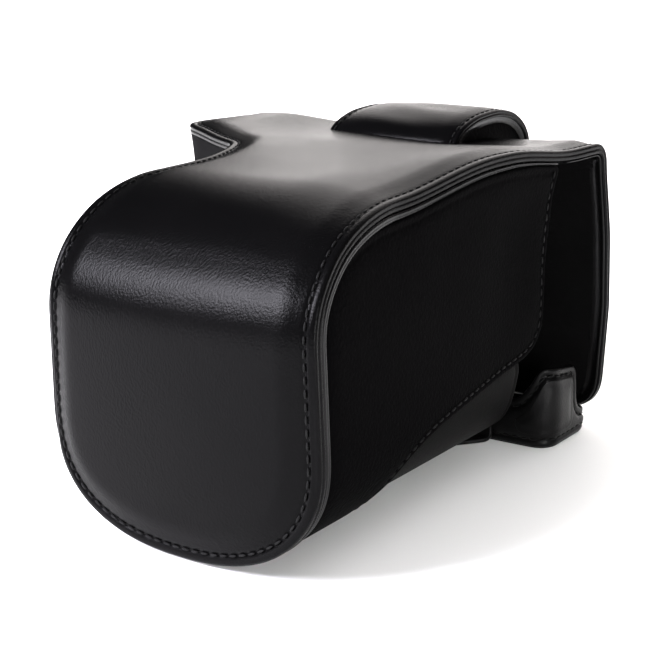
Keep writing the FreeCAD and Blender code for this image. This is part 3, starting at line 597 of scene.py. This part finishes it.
def settle(points):
    # the soft top sags behind the nose toward its open right end and dips over the nose's edge
    x, y, z = points[:, 0], points[:, 1], points[:, 2]
    high = smoothStep((z - 68) / 20)
    sag = -np.interp(x, softTop["sagX"], softTop["sag"]) * smoothStep((y - 8) / 38)
    droop = -softTop["droop"] * smoothStep((x - 36) / 28) * np.exp(-((y + 54) / 24) ** 2)
    raised = softTop["raised"] * smoothStep((x - 30) / 34) * np.exp(-((y + 2) / 20) ** 2)
    leftEar = softTop["leftCorner"] * smoothStep((-x - 25) / 30) * smoothStep((y - 5) / 20)
    ripple = softTop["ripple"] * np.sin(x * 0.11 + y * 0.07) * np.sin(y * 0.09 - 1.0)
    ripple = ripple * smoothStep((z - 80) / 8)
    moved = points.copy()
    moved[:, 2] += high * (sag + raised + leftEar + ripple) + smoothStep((z - 55) / 22) * droop
    return moved


def frontPad(flat):
    # the padded front swells gently between its seams
    across = np.clip(1 - ((flat[:, 0] - lensX) / frontSwell["halfWide"]) ** 2, 0, 1)
    along = np.clip(1 - ((flat[:, 1] - frontSwell["middle"]) / frontSwell["halfTall"]) ** 2, 0, 1)
    return frontSwell["rise"] * np.sqrt(across) * along


def placeSheet(flat, height):
    spot = onPath(sheetPath, flat[:, 1], np.asarray(height) + frontPad(flat) * (height > -1.0))
    x = flat[:, 0]
    bow = caseSize["rearBow"] * (1 - np.clip(np.abs(x) / caseSize["half"], 0, 1.2) ** 2)
    weight = smoothStep((flat[:, 1] - creaseRun) / (rearRun - creaseRun + 8))
    return settle(np.stack([x, spot[:, 0] + bow * weight, spot[:, 1]], 1))


def tongueEdge(side):
    # half of the front outline from the bottom middle up to the bend, then the top
    points = []
    for angle in np.radians(np.arange(-90, 1, 4)):
        across = nose["half"] * abs(math.cos(angle)) ** nose["power"]
        down = nose["low"] - nose["drop"] * abs(math.sin(angle)) ** nose["power"]
        points.append((lensX + side * across, down))
    bendEnd = runAtY(bendTop["y"])
    start = bendTop["startZ"]
    for part, half in ((0.0, 43.0), (0.35, 42.2), (0.7, 40.8), (1.0, 39.4)):
        points.append((lensX + side * half, start + (bendEnd - start) * part))
    return points


def sheetOutline():
    right = tongueEdge(1)
    right += [(64.7, runAtY(-30)), (65.4, runAtY(-5)), (66.4, runAtY(20)),
              (67.2, runAtY(40)), (68.3, runAtY(54)), (68.6, runAtBack(84)),
              (70.6, runAtBack(62)), (71.0, runAtBack(40)), (69.6, runAtBack(20))]
    bottom = [(68.6, endRun, 11.0), (-68.6, endRun, 11.0)]
    left = [(-70.0, runAtBack(20)), (-70.6, runAtBack(50)), (-69.4, runAtBack(84)),
            (-69.4, runAtY(54)), (-69.4, runAtY(38)), (-69.0, runAtY(24.6), 14.0),
            (-28.4, runAtY(0.6), 7.5), (-22.2, runAtY(-10)), (-18.0, runAtY(-22)),
            (-15.4, runAtY(-36))]
    returning = tongueEdge(-1)[::-1][:-1]
    corners = [p + (0.0,) if len(p) == 2 else p for p in right + bottom + left + returning]
    line = resample(roundCorners(corners), 1.25)
    return softenLine(line, 5)


sheetLine = sheetOutline()
sheetStyle = {"thick": 3.0, "seam": 2.9, "groove": 0.5, "pillow": 1.15, "reach": 6.5,
              "lip": 0.16, "spacing": 1.8}
coverSheet = leatherPanel("coverSheet", sheetLine, placeSheet, sheetStyle, [leatherTop, velvet])
print("padded sheet:", len(coverSheet.data.polygons), "faces")

flangeSection = [(6.4, -3.3), (1.3, -3.3), (0.75, -3.4), (0.5, -3.7), (0.52, -4.15), (0.58, -4.35),
                 (0.52, -4.55), (0.5, -5.0), (0.75, -5.3), (1.3, -5.4), (6.4, -5.4)]


def sheetPiece(start, stop):
    # run of the sheet's edge between two outline points, going counter-clockwise
    first = int(np.argmin(((sheetLine - np.array(start)) ** 2).sum(1)))
    turned = np.roll(sheetLine, -first, 0)
    last = int(np.argmin(((turned - np.array(stop)) ** 2).sum(1)))
    return turned[:last + 1]


def placeFlange(flat, height):
    # the flange thins toward the open rear, where the gusset meets the sheet
    part = smoothStep((flat[:, 1] - runAtY(-30)) / 58.0) * (flat[:, 0] > 0)
    return placeSheet(flat, -3.15 + (np.asarray(height) + 3.15) * (1 - 0.62 * part))


bottomPoint = (lensX, 0.6)
rightEnd = (67.0, creaseRun - 3.0)
leftEnd = (-24.0, runAtY(-7.0))
flangeRight = edgeStrip("flangeRight", sheetPiece(bottomPoint, rightEnd), flangeSection,
                        placeFlange, leatherEdge)
flangeLeft = edgeStrip("flangeLeft", sheetPiece(leftEnd, bottomPoint), flangeSection,
                       placeFlange, leatherEdge)


def troughSection():
    points = []
    for angle in np.radians(np.arange(-90, 1, 3)):
        points.append((nose["wallHalf"] * abs(math.cos(angle)) ** nose["power"],
                       nose["low"] - nose["wallDrop"] * abs(math.sin(angle)) ** nose["power"]))
    points.append((nose["wallHalf"], caseSize["top"] + 4))
    dense = resample(points, 0.6, closed=False)
    along = np.gradient(dense, axis=0)
    along /= np.linalg.norm(along, axis=1)[:, None]
    normal = np.stack([along[:, 1], -along[:, 0]], 1)
    return {"run": runLengths(dense), "points": dense, "normal": normal}


trough = troughSection()


def upTrough(z):
    # length along the wall from the middle of the underside to a height
    return float(np.interp(z, trough["points"][:, 1], trough["run"]))


def wallHalf(y, z, side):
    front = np.interp(z, [0, 57, 92], [42.0, 41.2, 37.6])
    rear = np.interp(z, [0, 57, 78, 92], [40.0, 40.0, 40.6, 42.6])
    part = np.clip((y + 86) / 120, 0, 1)
    half = front * (1 - part) + rear * part
    if side < 0:
        flare = np.interp(y, [-48, -35, -20, -8, 3], [0, 1.0, 3.6, 7.4, 12.5])
        half = half + flare * smoothStep((z - 18) / 50)
    return half


def placeWall(flat, height, side=1):
    y = flat[:, 0]
    sign = np.where(flat[:, 1] < 0, -side, side)
    spot = onPath(trough, np.abs(flat[:, 1]), np.asarray(height))
    across = spot[:, 0] * wallHalf(y, spot[:, 1], side) / nose["wallHalf"]
    z = spot[:, 1]
    loose = smoothStep((y + 55) / 60) * smoothStep((z - 20) / 25) * smoothStep((88 - z) / 12)
    wave = 0.5 * np.sin(y * 0.12 + z * 0.05) * np.sin(z * 0.11 - y * 0.03 + 1.0)
    sink = -1.1 * np.exp(-((y - 8) / 22) ** 2 - ((z - 62) / 18) ** 2)
    across = across + loose * (wave + sink)
    return settle(np.stack([lensX + sign * across, y, z], 1))


def mirrorWall(flat, height):
    return placeWall(flat, height, -1)


def frontOfWall(depth):
    # line just under the sheet: up the front, round the bend and back
    points = [(caseSize["front"] + depth, 57.0)]
    for angle in np.radians(np.arange(170, 89, -8)):
        points.append((bendTop["y"] + (bendTop["y"] - caseSize["front"] - depth) * math.cos(angle),
                       bendTop["startZ"]
                       + (bendTop["z"] - bendTop["startZ"] - depth) * math.sin(angle)))
    return points


def gussetOutline(depth, edge):
    points = [(y, upTrough(z)) for y, z in edge]
    points += [(y, upTrough(z)) for y, z in frontOfWall(depth)[::-1]]
    points.append((caseSize["front"] + depth, 0.0))
    line = resample(roundCorners([p + (0.6,) for p in points]), 1.2)
    return softenLine(line, 3)


rightEdge = [(-60.0, 0.9), (-55.5, 6.5), (-51.0, 12.0), (-46.8, 16.8), (-42.5, 20.3), (-37.0, 23.0),
             (-30.1, 25.2), (-20.2, 27.2), (-9.6, 28.9), (1.7, 30.6), (13.8, 32.3), (18.9, 33.4),
             (23.2, 35.6), (26.4, 39.4), (28.2, 44.8), (29.5, 53.3), (29.9, 65.1), (30.8, 76.7),
             (31.9, 82.4), (33.2, 88.4)]
gussetStyle = {"thick": 1.6, "seam": 2.1, "groove": 0.28, "pillow": 0.3, "reach": 4.0,
               "lip": 0.08, "rings": (1.0, 1.5, 1.9, 2.3, 2.8, 3.6, 4.8)}
rightLine = gussetOutline(5.3, rightEdge)


rightLine = countered(rightLine)
gussetRight = leatherPanel("gussetRight", rightLine, placeWall, gussetStyle,
                           [leatherGusset, velvet])

leftEdge = [(-60.0, 0.9), (-51.0, 12.0), (-42.5, 20.3), (-30.1, 25.2), (-16.0, 27.6), (-4.0, 29.0),
            (0.5, 33.0), (1.5, 40.0), (1.5, 60.0), (1.5, 87.0)]
leftLine = countered(gussetOutline(5.3, leftEdge))
gussetLeft = leatherPanel("gussetLeftNose", leftLine, mirrorWall, gussetStyle,
                          [leatherGusset, velvet], flip=True)


def shoulderPath():
    line = roundCorners([(-23.8, -6.0), (-28.8, 3.8, 7.0), (-61.0, 22.0), (-69.2, 26.2, 12.0),
                         (-69.6, 39.5)], closed=False)
    return makePath(line[::-1])


shoulder = shoulderPath()


def placeShoulder(flat, height):
    z = flat[:, 1]
    reach = float(shoulder["run"][-1])
    bulge = 3.0 * np.clip(1 - ((z - 60) / 34.0) ** 4, 0, 1)
    bulge = bulge * smoothStep((reach * 0.42 - flat[:, 0]) / (reach * 0.3))
    spot = onPath(shoulder, flat[:, 0], np.asarray(height) + bulge)
    return settle(np.stack([spot[:, 0], spot[:, 1], z], 1))


def shoulderOutline():
    reach = float(shoulder["run"][-1])
    corners = [(0.5, 27.0, 6), (reach * 0.3, 26.0, 4), (reach * 0.44, 17.5, 4),
               (reach - 1, 17.5, 2), (reach - 1, 89.4, 1), (0.5, 89.4, 1)]
    return countered(softenLine(resample(roundCorners(corners), 1.2), 3))


shoulderLine = shoulderOutline()
shoulderWall = leatherPanel("shoulderWall", shoulderLine, placeShoulder, gussetStyle,
                            [leatherUnder, velvet])

bottomEdge = [(25.0, 0.0), (24.6, 1.4), (23.4, 8.4), (19.4, 13.7), (17.2, 19.2), (16.2, 26.0),
              (17.4, 29.5), (13.5, 36.0), (-9.6, 33.5), (-30.1, 30.0), (-40.0, 27.0),
              (-50.0, 20.0), (-60.0, 8.5), (-66.0, 1.0)]


def bottomOutline():
    right = [(y, upTrough(z) if z > 1.0 else z * 6.0) for y, z in bottomEdge]
    whole = right + [(y, -v) for y, v in right[::-1]]
    return countered(softenLine(resample(whole, 1.2), 6))


behindWall = behind(placeWall, gussetStyle["thick"] + 0.05)
panelStyle = dict(gussetStyle, groove=0.1, pillow=0.15)
bottomLine = bottomOutline()
bottomPanel = leatherPanel("bottomPanel", bottomLine, behindWall, panelStyle,
                           [leatherUnder, velvet])
print("nose walls made")


liningStyle = {"thick": 0.7, "seam": 1.0, "groove": 0.0, "pillow": 0.0, "reach": 3.0, "lip": 0.0,
               "rings": (0.7, 1.6, 3.0), "spacing": 3.4, "double": False}


def coarse(line, trim, step=2.4):
    return softenLine(resample(insetLine(line, trim), step), 2)


underSheet = behind(placeSheet, sheetStyle["thick"] + 0.05)


def topLiningOutline():
    inner = insetLine(sheetLine, 7.5)
    good = distanceTo(sheetLine, inner) > 7.2
    inner = inner[good]
    inner = inner[inner[:, 1] < creaseRun - 5]
    return countered(softenLine(resample(inner, 2.4), 2))


topLining = leatherPanel("topLining", topLiningOutline(), underSheet, liningStyle, [velvet])


liningEdge = [(-57.0, 8.0), (-47.0, 22.0), (-38.8, 28.0), (-20.2, 32.5), (1.7, 36.2), (13.8, 38.0),
              (20.0, 41.0), (24.0, 47.0), (26.0, 60.0), (27.6, 76.7), (28.5, 84.0)]
gussetLiningLine = countered(gussetOutline(8.0, liningEdge)[::2])
gussetLining = leatherPanel("gussetLiningRight", gussetLiningLine, behindWall, liningStyle,
                            [velvet])
bottomLining = leatherPanel("bottomLining", coarse(bottomLine, 3.0), behind(placeWall, 3.3),
                            liningStyle, [velvet])


def flapInside(trim):
    low, high = creaseRun + 1.2 + trim * 0.3, endRun - trim
    corners = [(67.4 - trim, low, 2), (70.0 - trim, runAtBack(50), 0), (68.4 - trim, high, 9),
               (-68.4 + trim, high, 9), (-70.0 + trim, runAtBack(50), 0), (-67.4 + trim, low, 2)]
    return countered(resample(roundCorners(corners), 2.0))


flapLining = leatherPanel("flapLining", flapInside(3.0), underSheet, liningStyle, [velvet])
rimSection = [(4.6, -3.0), (1.2, -3.0), (0.7, -3.15), (0.55, -3.4), (0.75, -3.66), (1.3, -3.75),
              (4.6, -3.75)]
flapRim = edgeStrip("flapRim", sheetPiece((67.4, creaseRun + 3), (-67.4, creaseRun + 3)),
                    rimSection, placeSheet, leatherEdge)
print("linings made")


humpSize = {"left": -19.9, "right": 28.9, "thick": 2.2, "capIn": 1.6}
humpRoute = [(36.2, 85.4), (36.6, 88.0), (38.2, 91.6), (43.2, 95.2), (52.6, 97.9), (65.9, 98.8),
             (76.2, 97.2), (83.4, 93.4), (87.0, 89.1), (88.2, 86.0), (87.2, 82.4), (82.0, 79.8),
             (75.5, 77.2), (68.4, 74.6)]
humpPath = makePath(softenLine(resample(humpRoute, 1.5, closed=False), 6, closed=False))


def placeHump(flat, height):
    x = flat[:, 0]
    wide = (x - humpSize["left"]) / (humpSize["right"] - humpSize["left"])
    run = flat[:, 1] / float(humpPath["run"][-1])
    dip = 0.3 * np.sin(wide * 9.0 + run * 16.0) * np.sin(run * 21.0 + 0.5)
    dip = dip * np.clip(4 * wide * (1 - wide), 0, 1)
    dome = 0.7 * np.clip(4 * wide * (1 - wide), 0, 1) * smoothStep(run * 5)
    spot = onPath(humpPath, flat[:, 1], np.asarray(height) + dip * 0.8 + dome - 0.5)
    return np.stack([x, spot[:, 0], spot[:, 1]], 1)


humpEnd = float(humpPath["run"][-1])
humpLine = countered(resample(roundCorners([
    (humpSize["left"], 0.5, 1), (humpSize["right"], 0.5, 1),
    (humpSize["right"], humpEnd - 0.5, 1), (humpSize["left"], humpEnd - 0.5, 1)]), 1.2))
humpStyle = {"thick": humpSize["thick"], "seam": 2.1, "groove": 0.35, "pillow": 0.45,
             "reach": 4.0, "lip": 0.12, "spacing": 1.5}
humpCover = leatherPanel("humpCover", humpLine, placeHump, humpStyle, [leatherTop, velvet])


humpLiningLine = countered(resample([(humpSize["left"] + 2.6, 5), (humpSize["right"] - 2.6, 5),
                                     (humpSize["right"] - 2.6, humpEnd - 7),
                                     (humpSize["left"] + 2.6, humpEnd - 7)], 2.4))
humpLining = leatherPanel("humpLining", humpLiningLine, behind(placeHump, 2.3), liningStyle,
                          [velvet])


def capOutline(trim):
    line = humpPath["points"][::2]
    foot = [(60.0, 76.0), (50.0, 82.0), (42.0, 84.0)]
    whole = countered(softenLine(resample(np.vstack([line, foot]), 1.2), 4))
    inner = insetLine(whole, trim)
    keep = distanceTo(whole, inner) > trim * 0.97
    return softenLine(resample(inner[keep], 1.2), 3)


def placeCap(side):
    edge = humpSize["right"] if side > 0 else humpSize["left"]

    def place(flat, height):
        x = edge + side * (np.asarray(height) - humpSize["capIn"])
        return np.stack([x, flat[:, 0], flat[:, 1]], 1)
    return place


capStyle = {"thick": 1.4, "seam": 1.8, "groove": 0.2, "pillow": 0.9, "reach": 6.0, "lip": 0.0,
            "spacing": 1.6, "rings": (1.0, 1.4, 1.8, 2.2, 2.7, 3.4), "double": False}
weltSection = [(3.6, 0.5), (1.2, 0.95), (0.5, 0.8), (0.3, 0.3), (0.3, -1.0), (3.6, -1.0)]
caps, welts = [], []
for side, label in ((1, "Right"), (-1, "Left")):
    flip = side < 0
    caps.append(leatherPanel("humpCap" + label, capOutline(2.2), placeCap(side), capStyle,
                             [leatherGusset, velvet], flip=flip))
    closed = capOutline(0.9)
    welts.append(edgeStrip("humpWelt" + label, np.vstack([closed, closed[:2]]), weltSection,
                           placeCap(side), leatherEdge, flip=flip))
print("hump made")


traySize = {"halfX": 65.8, "front": 31.8, "rear": 57.4, "corner": 6.5, "rearCorner": 3.2,
            "frontHigh": 14.6, "low": 8.0, "ear": 25.4, "earFront": 57.6, "earRear": 49.6}


def trayPlan():
    half, front, rear = traySize["halfX"], traySize["front"], traySize["rear"]
    wide, tight = traySize["corner"], traySize["rearCorner"]
    return roundCorners([(0, rear), (-half, rear, tight), (-half, front, wide),
                         (half, front, wide), (half, rear, tight), (0, rear + 0.0001)],
                        closed=False)


trayPath = makePath(trayPlan())
trayRun, trayPoints = trayPath["run"], trayPath["points"]
trayEnd = float(trayRun[-1])


def trayAt(x, y):
    return float(trayRun[int(np.argmin(((trayPoints - np.array([x, y])) ** 2).sum(1)))])


def placeTray(flat, height):
    z = flat[:, 1]
    tuck = 0.7 * np.clip(1 - z / 2.4, 0, 1) ** 2
    lean = 0.3 * smoothStep((z - 14) / 12)
    spot = onPath(trayPath, flat[:, 0], -(np.asarray(height) - tuck - lean))
    return np.stack([spot[:, 0], spot[:, 1], z], 1)


def trayOutline(bottom):
    half, front, rear = traySize["halfX"], traySize["front"], traySize["rear"]
    low, high, ear = traySize["low"], traySize["frontHigh"], traySize["ear"]
    earFront = trayAt(traySize["earFront"], front)
    earRear = trayAt(half, traySize["earRear"])
    corners = [(trayEnd - 0.05, bottom, 0), (trayEnd - 0.05, low, 0),
               (earRear + 0.4, low, 5.0), (earRear + 0.2, ear - 2.4, 3.4),
               (trayAt(62.6, front + 0.6), ear + 0.1, 3.5), (earFront + 1.2, ear - 6.0, 8),
               (earFront - 2.8, high, 5)]
    mirrored = [(trayEnd - p, z, r) for p, z, r in corners[::-1]]
    return countered(resample(roundCorners(corners + mirrored), 1.1))


trayLine = trayOutline(0.25)
trayStyle = {"thick": 1.6, "seam": 2.3, "groove": 0.3, "pillow": 0.55, "reach": 1.2, "lip": 0.1,
             "spacing": 1.4, "rings": (1.0, 1.4, 1.8, 2.1, 2.4, 2.8, 3.3, 4.0)}
trayWall = leatherPanel("halfCaseWall", trayLine, placeTray, trayStyle,
                        [leatherCase, velvet], flip=True)


def discOutline(x, y, radius, step=1.2):
    count = max(24, int(2 * math.pi * radius / step))
    turn = np.linspace(0, 2 * math.pi, count, endpoint=False)
    return np.stack([x + radius * np.cos(turn), y + radius * np.sin(turn)], 1)


def flatRing(name, outline, hole, low, high, material):
    # a flat sheet with a round hole: both faces, the outer edge and the bore.
    outline, hole = countered(outline), countered(hole)[::-1]
    flat = np.vstack([outline, hole])
    n, m = len(outline), len(hole)
    edges = [(i, (i + 1) % n) for i in range(n)] + [(n + i, n + (i + 1) % m) for i in range(m)]
    result = geometry.delaunay_2d_cdt([Vector(p) for p in flat], edges, [], 1, 1e-6)
    origin = [o[0] if o else -1 for o in result[3]]
    faces = []
    for face in result[2]:
        ids = [origin[k] for k in face]
        middle = flat[ids].mean(0)[None]
        if min(ids) >= 0 and not insideOf(hole, middle)[0]:
            faces.append(ids)
    total = n + m
    points = np.vstack([np.column_stack([flat, np.full(total, high)]),
                        np.column_stack([flat, np.full(total, low)])])
    every = list(faces) + [[k + total for k in face][::-1] for face in faces]
    for a, b in edges:
        every.append([a, a + total, b + total, b])
    return makeMesh(name, points, every, [material], smooth=False)


screwAt = (lensX, 44.4)
floorBore, liningBore = 7.5, 6.2  # round the screw plate and round the screw
baseOutline = insetLine(countered(resample(trayPlan()[:-1], 1.5)), 0.9)
trayBase = flatRing("halfCaseBase", baseOutline, discOutline(*screwAt, floorBore), 0.0, 1.55,
                    leatherCase)
liningOutline = insetLine(baseOutline, 1.0)
trayLining = flatRing("halfCaseLining", liningOutline, discOutline(*screwAt, liningBore), 3.9,
                      4.6, velvet)


def patchOutline(side):
    front = traySize["front"]
    earFront = trayAt(traySize["earFront"], front)
    earRear = trayAt(traySize["halfX"], traySize["earRear"])
    ear = traySize["ear"]
    corners = [(earFront - 4.5, 4.4, 3), (earRear - 3.0, 4.4, 3), (earRear - 3.0, ear - 5.4, 2),
               (trayAt(64.2, front + 1.2), ear - 3.4, 3), (earFront + 4.2, ear - 8.0, 6),
               (earFront + 1.4, 12.0, 6), (earFront - 2.6, 9.0, 4)]
    if side < 0:
        corners = [(trayEnd - p, z, r) for p, z, r in corners]
    return countered(resample(roundCorners(corners), 1.1))


patchStyle = {"thick": 0.6, "seam": 1.2, "groove": 0.0, "pillow": 0.35, "reach": 2.6, "lip": 0.0,
              "spacing": 1.4, "rings": (0.6, 1.0, 1.5, 2.1, 2.8), "double": False}
onWall = behind(placeTray, -0.62)  # the patch lies on the wall's outside
patches = [leatherPanel("earPatch" + label, patchOutline(side), onWall, patchStyle,
                        [leatherCase], flip=True) for side, label in ((1, "Right"), (-1, "Left"))]
print("half-case made")


strapPath = makePath([(3.2, 0.95), (12, 0.9), (24, 0.9), (28.9, 0.9), (30.2, 1.3), (30.9, 2.4),
                      (31.05, 4.0), (31.1, 13.0)][::-1])


def placeStrap(flat, height):
    spot = onPath(strapPath, flat[:, 1], np.asarray(height) + 0.68)
    return np.stack([flat[:, 0], spot[:, 0], spot[:, 1]], 1)


strapSize = {"half": 21.8, "tail": 10, "neck": 12}
strapEnd = float(strapPath["run"][-1])
strapSide = [(strapSize["half"], 0.3, 3), (strapSize["half"], 12.5, 4),
             (strapSize["neck"], strapEnd - 14, 8), (strapSize["tail"], strapEnd - 0.3, 3)]
strapLine = countered(resample(roundCorners(
    [(lensX - strapSize["half"], 0.3, 3)]
    + [(lensX + x, run, radius) for x, run, radius in strapSide]
    + [(lensX - x, run, radius) for x, run, radius in strapSide[:0:-1]]), 1.1))
strapStyle = {"thick": 1.35, "seam": 1.9, "groove": 0.25, "pillow": 0.1, "reach": 2.0, "lip": 0.0,
              "spacing": 1.6, "rings": (0.9, 1.3, 1.7, 2.1, 2.6, 3.4), "double": False}
hingeStrap = leatherPanel("hingeStrap", strapLine, placeStrap, strapStyle, [leatherCase], flip=True)
print("strap made")


def sewLine(line, place, depth, closed=False, sink=-0.05):
    inner = insetLine(line, depth, closed=closed)
    return place(inner, np.full(len(inner), sink))


seam = sheetStyle["seam"]
noseSeam = sheetPiece((-67.0, creaseRun - 2.5), (67.0, creaseRun - 2.5))
flapSeam = sheetPiece((67.4, creaseRun + 4.0), (-67.4, creaseRun + 4.0))


def between(line, keep):
    # longest run of a closed line's points that satisfies a test
    flags = np.array([keep(p) for p in line])
    start = int(np.argmin(flags))
    turned, flags = np.roll(line, -start, 0), np.roll(flags, -start)
    best, here = [], []
    for point, good in zip(turned, flags):
        here = here + [point] if good else []
        best = here if len(here) > len(best) else best
    return np.array(best)


gussetSeam = between(rightLine, lambda p: p[1] < upTrough(34.5) and p[1] > 4 and p[0] > -62)
gussetRear = between(rightLine, lambda p: upTrough(34.5) <= p[1] < upTrough(86) and p[0] > 15)
leftSeam = between(leftLine, lambda p: p[1] < upTrough(29.0) and p[1] > 4 and p[0] > -62)
coverStitches = sewStitches("coverStitches", [
    sewLine(noseSeam, placeSheet, seam), sewLine(gussetSeam, placeWall, gussetStyle["seam"]),
    sewLine(gussetRear, placeWall, gussetStyle["seam"]),
    sewLine(leftSeam, mirrorWall, gussetStyle["seam"])])
humpRows = []
for x in (humpSize["left"] + 2.1, humpSize["right"] - 2.1):
    runs = np.arange(2.5, humpEnd - 2.5, 1.0)
    row = np.stack([np.full(len(runs), x), runs], 1)
    humpRows.append(placeHump(row, np.full(len(row), -0.05)))
flapStitches = sewStitches("flapStitches", [sewLine(flapSeam, placeSheet, seam)] + humpRows)
trayTop = between(trayLine, lambda p: p[1] > 5 and 1.5 < p[0] < trayEnd - 1.5)
footRun = np.arange(1.5, trayEnd - 1.5, 1.0)
trayFoot = np.stack([footRun, np.full(len(footRun), 3.0)], 1)
trayStitches = sewStitches("halfCaseStitches", [
    sewLine(trayTop, placeTray, trayStyle["seam"]),
    placeTray(trayFoot, np.full(len(trayFoot), 0.1))])
print("stitches sewn")


def metres(x, y, z):
    return (x * mm, y * mm, z * mm)


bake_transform(coverSheet)
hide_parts("front_top_panel", "back_flap_outer")
metres(lensX, 24.2, 0.9)
metres(lensX, 29.6, 0.9)
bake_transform(hingeStrap)
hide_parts("hinge_strap_front", "hinge_strap_rear")

places = [
    (flangeRight, "cover", ["flange_right"], "leather_outer"),
    (flangeLeft, "cover", ["flange_left"], "leather_outer"),
    (gussetRight, "cover", ["gusset_right"], "leather_gusset"),
    (gussetLeft, "cover", ["gusset_left"], "leather_gusset"),
    (shoulderWall, "cover", [], "leather_gusset"),
    (bottomPanel, "cover", ["bottom_panel"], "leather_outer"),
    (topLining, "cover", ["front_top_lining"], "velvet"),
    (gussetLining, "cover", ["gusset_lining_right"], "velvet"),
    (bottomLining, "cover", ["bottom_lining"], "velvet"),
    (coverStitches, "cover", [], "leather_outer"),
    (flapStitches, "back_flap", [], "leather_outer"),
    (flapLining, "back_flap", ["flap_lining"], "velvet"),
    (flapRim, "back_flap", ["flap_rim"], "leather_outer"),
    (humpCover, "back_flap", ["hump_cover"], "leather_outer"),
    (humpLining, "back_flap", ["hump_lining"], "velvet"),
    (caps[0], "back_flap", ["hump_cap_right"], "leather_outer"),
    (caps[1], "back_flap", ["hump_cap_left"], "leather_outer"),
    (welts[0], "back_flap", ["hump_welt_right"], "leather_outer"),
    (welts[1], "back_flap", ["hump_welt_left"], "leather_outer"),
    (trayWall, "half_case", ["half_case_shell"], "leather_outer"),
    (trayBase, "half_case", [], "leather_outer"),
    (trayLining, "half_case", ["half_case_lining"], "velvet"),
    (patches[0], "half_case", ["ear_patch_right"], "leather_outer"),
    (patches[1], "half_case", ["ear_patch_left"], "leather_outer"),
    (trayStitches, "half_case", [], "leather_outer"),
]
for piece, body, replaced, slotName in places:
    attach(piece, body)
    if replaced:
        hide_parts(*replaced)

finishes = {
    "base_board": boardCard, "flap_board": boardCard, "case_magnet_right": steel,
    "case_magnet_left": steel, "flap_magnet_right": steel, "flap_magnet_left": steel,
    "screw_plate": steel, "screw_clip": steel, "camera_screw": steel,
    "strap_stud_right": studPaint, "strap_stud_left": studPaint,
}
for node, material in finishes.items():
    piece = nodes[node]
    if piece.material_slots:
        for slot in piece.material_slots:
            slot.link = "OBJECT"
            slot.material = material
    else:
        piece.data.materials.append(material)
print("pieces placed on their bodies")


stageSize = {"floorHalf": 30.0, "floorTone": 0.86, "floorSpread": 0.03, "world": 0.04}


def makeStage():
    half = stageSize["floorHalf"]
    mesh = bpy.data.meshes.new("floor")
    mesh.from_pydata([(-half, -half, 0), (half, -half, 0), (half, half, 0), (-half, half, 0)],
                     [], [(0, 1, 2, 3)])
    floor = linked("floor", mesh)
    shade = Shade("palePaper")
    place = shade.wire(shade.add("TexCoord"), "Object")
    patch = shade.wire(shade.add("TexNoise", Vector=place, Scale=9.0, Detail=2.0), "Fac")
    level = stageSize["floorTone"]
    lighter = level + stageSize["floorSpread"]
    shade.tint(patch, (level, level, level, 1), (lighter, lighter, lighter, 1))
    shade.feed("Roughness", 0.6)
    shade.feed("Specular IOR Level", 0.2)
    mesh.materials.append(shade.material)
    return floor


def aimed(name, place, target, kind="AREA"):
    data = bpy.data.lights.new(name, kind)
    lamp = linked(name, data)
    lamp.location = Vector(place)
    lamp.rotation_euler = (Vector(target) - Vector(place)).to_track_quat("-Z", "Y").to_euler()
    return lamp


def softbox(name, place, target, wide, tall, power, colour=(1, 1, 1)):
    lamp = aimed(name, place, target)
    lamp.data.shape = "RECTANGLE"
    lamp.data.size = wide
    lamp.data.size_y = tall
    lamp.data.energy = power
    lamp.data.color = colour


def lightFloor(floor):
    # a key from behind and a wide fill whiten the paper and leave the leather dark
    paper = bpy.data.collections.new("paperOnly")
    paper.objects.link(floor)
    for name, place, energy, angle in (("paperKey", (-0.72, 0.22, 1.4), 3.4, 24),
                                       ("paperFill", (0.4, -0.8, 2.0), 2.4, 125)):
        lamp = aimed(name, place, (0, 0, 0), "SUN")
        lamp.data.energy = energy
        lamp.data.angle = math.radians(angle)
        lamp.data.color = (1.0, 0.99, 0.975)
        lamp.light_linking.receiver_collection = paper


lightFloor(makeStage())
# the wide panel behind gives the sheen along the top, the low one by the front the blue band
softbox("rearPanel", (-0.34, 1.72, 0.94), (0.0, 0.0, 0.08), 2.3, 1.9, 30, (1.0, 0.955, 0.94))
softbox("frontPanel", (-0.64, -0.94, 0.8), (0.02, -0.09, 0.06), 0.66, 0.5, 66, (0.92, 0.9, 1.0))
softbox("rightPanel", (1.0, -0.62, 0.2), (0.06, 0.03, 0.02), 0.2, 0.45, 10.0, (1, 1, 1))


world = bpy.data.worlds.new("studio")
bpy.context.scene.world = world
world.use_nodes = True
background = world.node_tree.nodes["Background"]
background.inputs["Color"].default_value = (1, 1, 1, 1)
background.inputs["Strength"].default_value = stageSize["world"]

cameraSize = {"place": (244.7, -324.5, 142.0), "around": 36.3, "down": 14.4, "roll": -1.2,
              "lens": 76.17}


def makeCamera():
    yaw, pitch, roll = (math.radians(cameraSize[k]) for k in ("around", "down", "roll"))
    forward = Vector((-math.sin(yaw) * math.cos(pitch), math.cos(yaw) * math.cos(pitch),
                      -math.sin(pitch)))
    right = Vector((math.cos(yaw), math.sin(yaw), 0))
    up = right.cross(forward)
    tilted = right * math.cos(roll) + up * math.sin(roll)
    raised = up * math.cos(roll) - right * math.sin(roll)
    data = bpy.data.cameras.new("camera")
    data.lens = cameraSize["lens"]
    data.sensor_width = 36.0
    data.clip_end = 200.0
    data.clip_start = 0.01
    camera = linked("camera", data)
    turn = Matrix((tilted, raised, -forward)).transposed().to_4x4()
    camera.matrix_world = Matrix.Translation(Vector(cameraSize["place"]) * mm) @ turn
    bpy.context.scene.camera = camera


makeCamera()
bpy.context.scene.view_settings.view_transform = "Standard"
print("stage, lights and camera set")
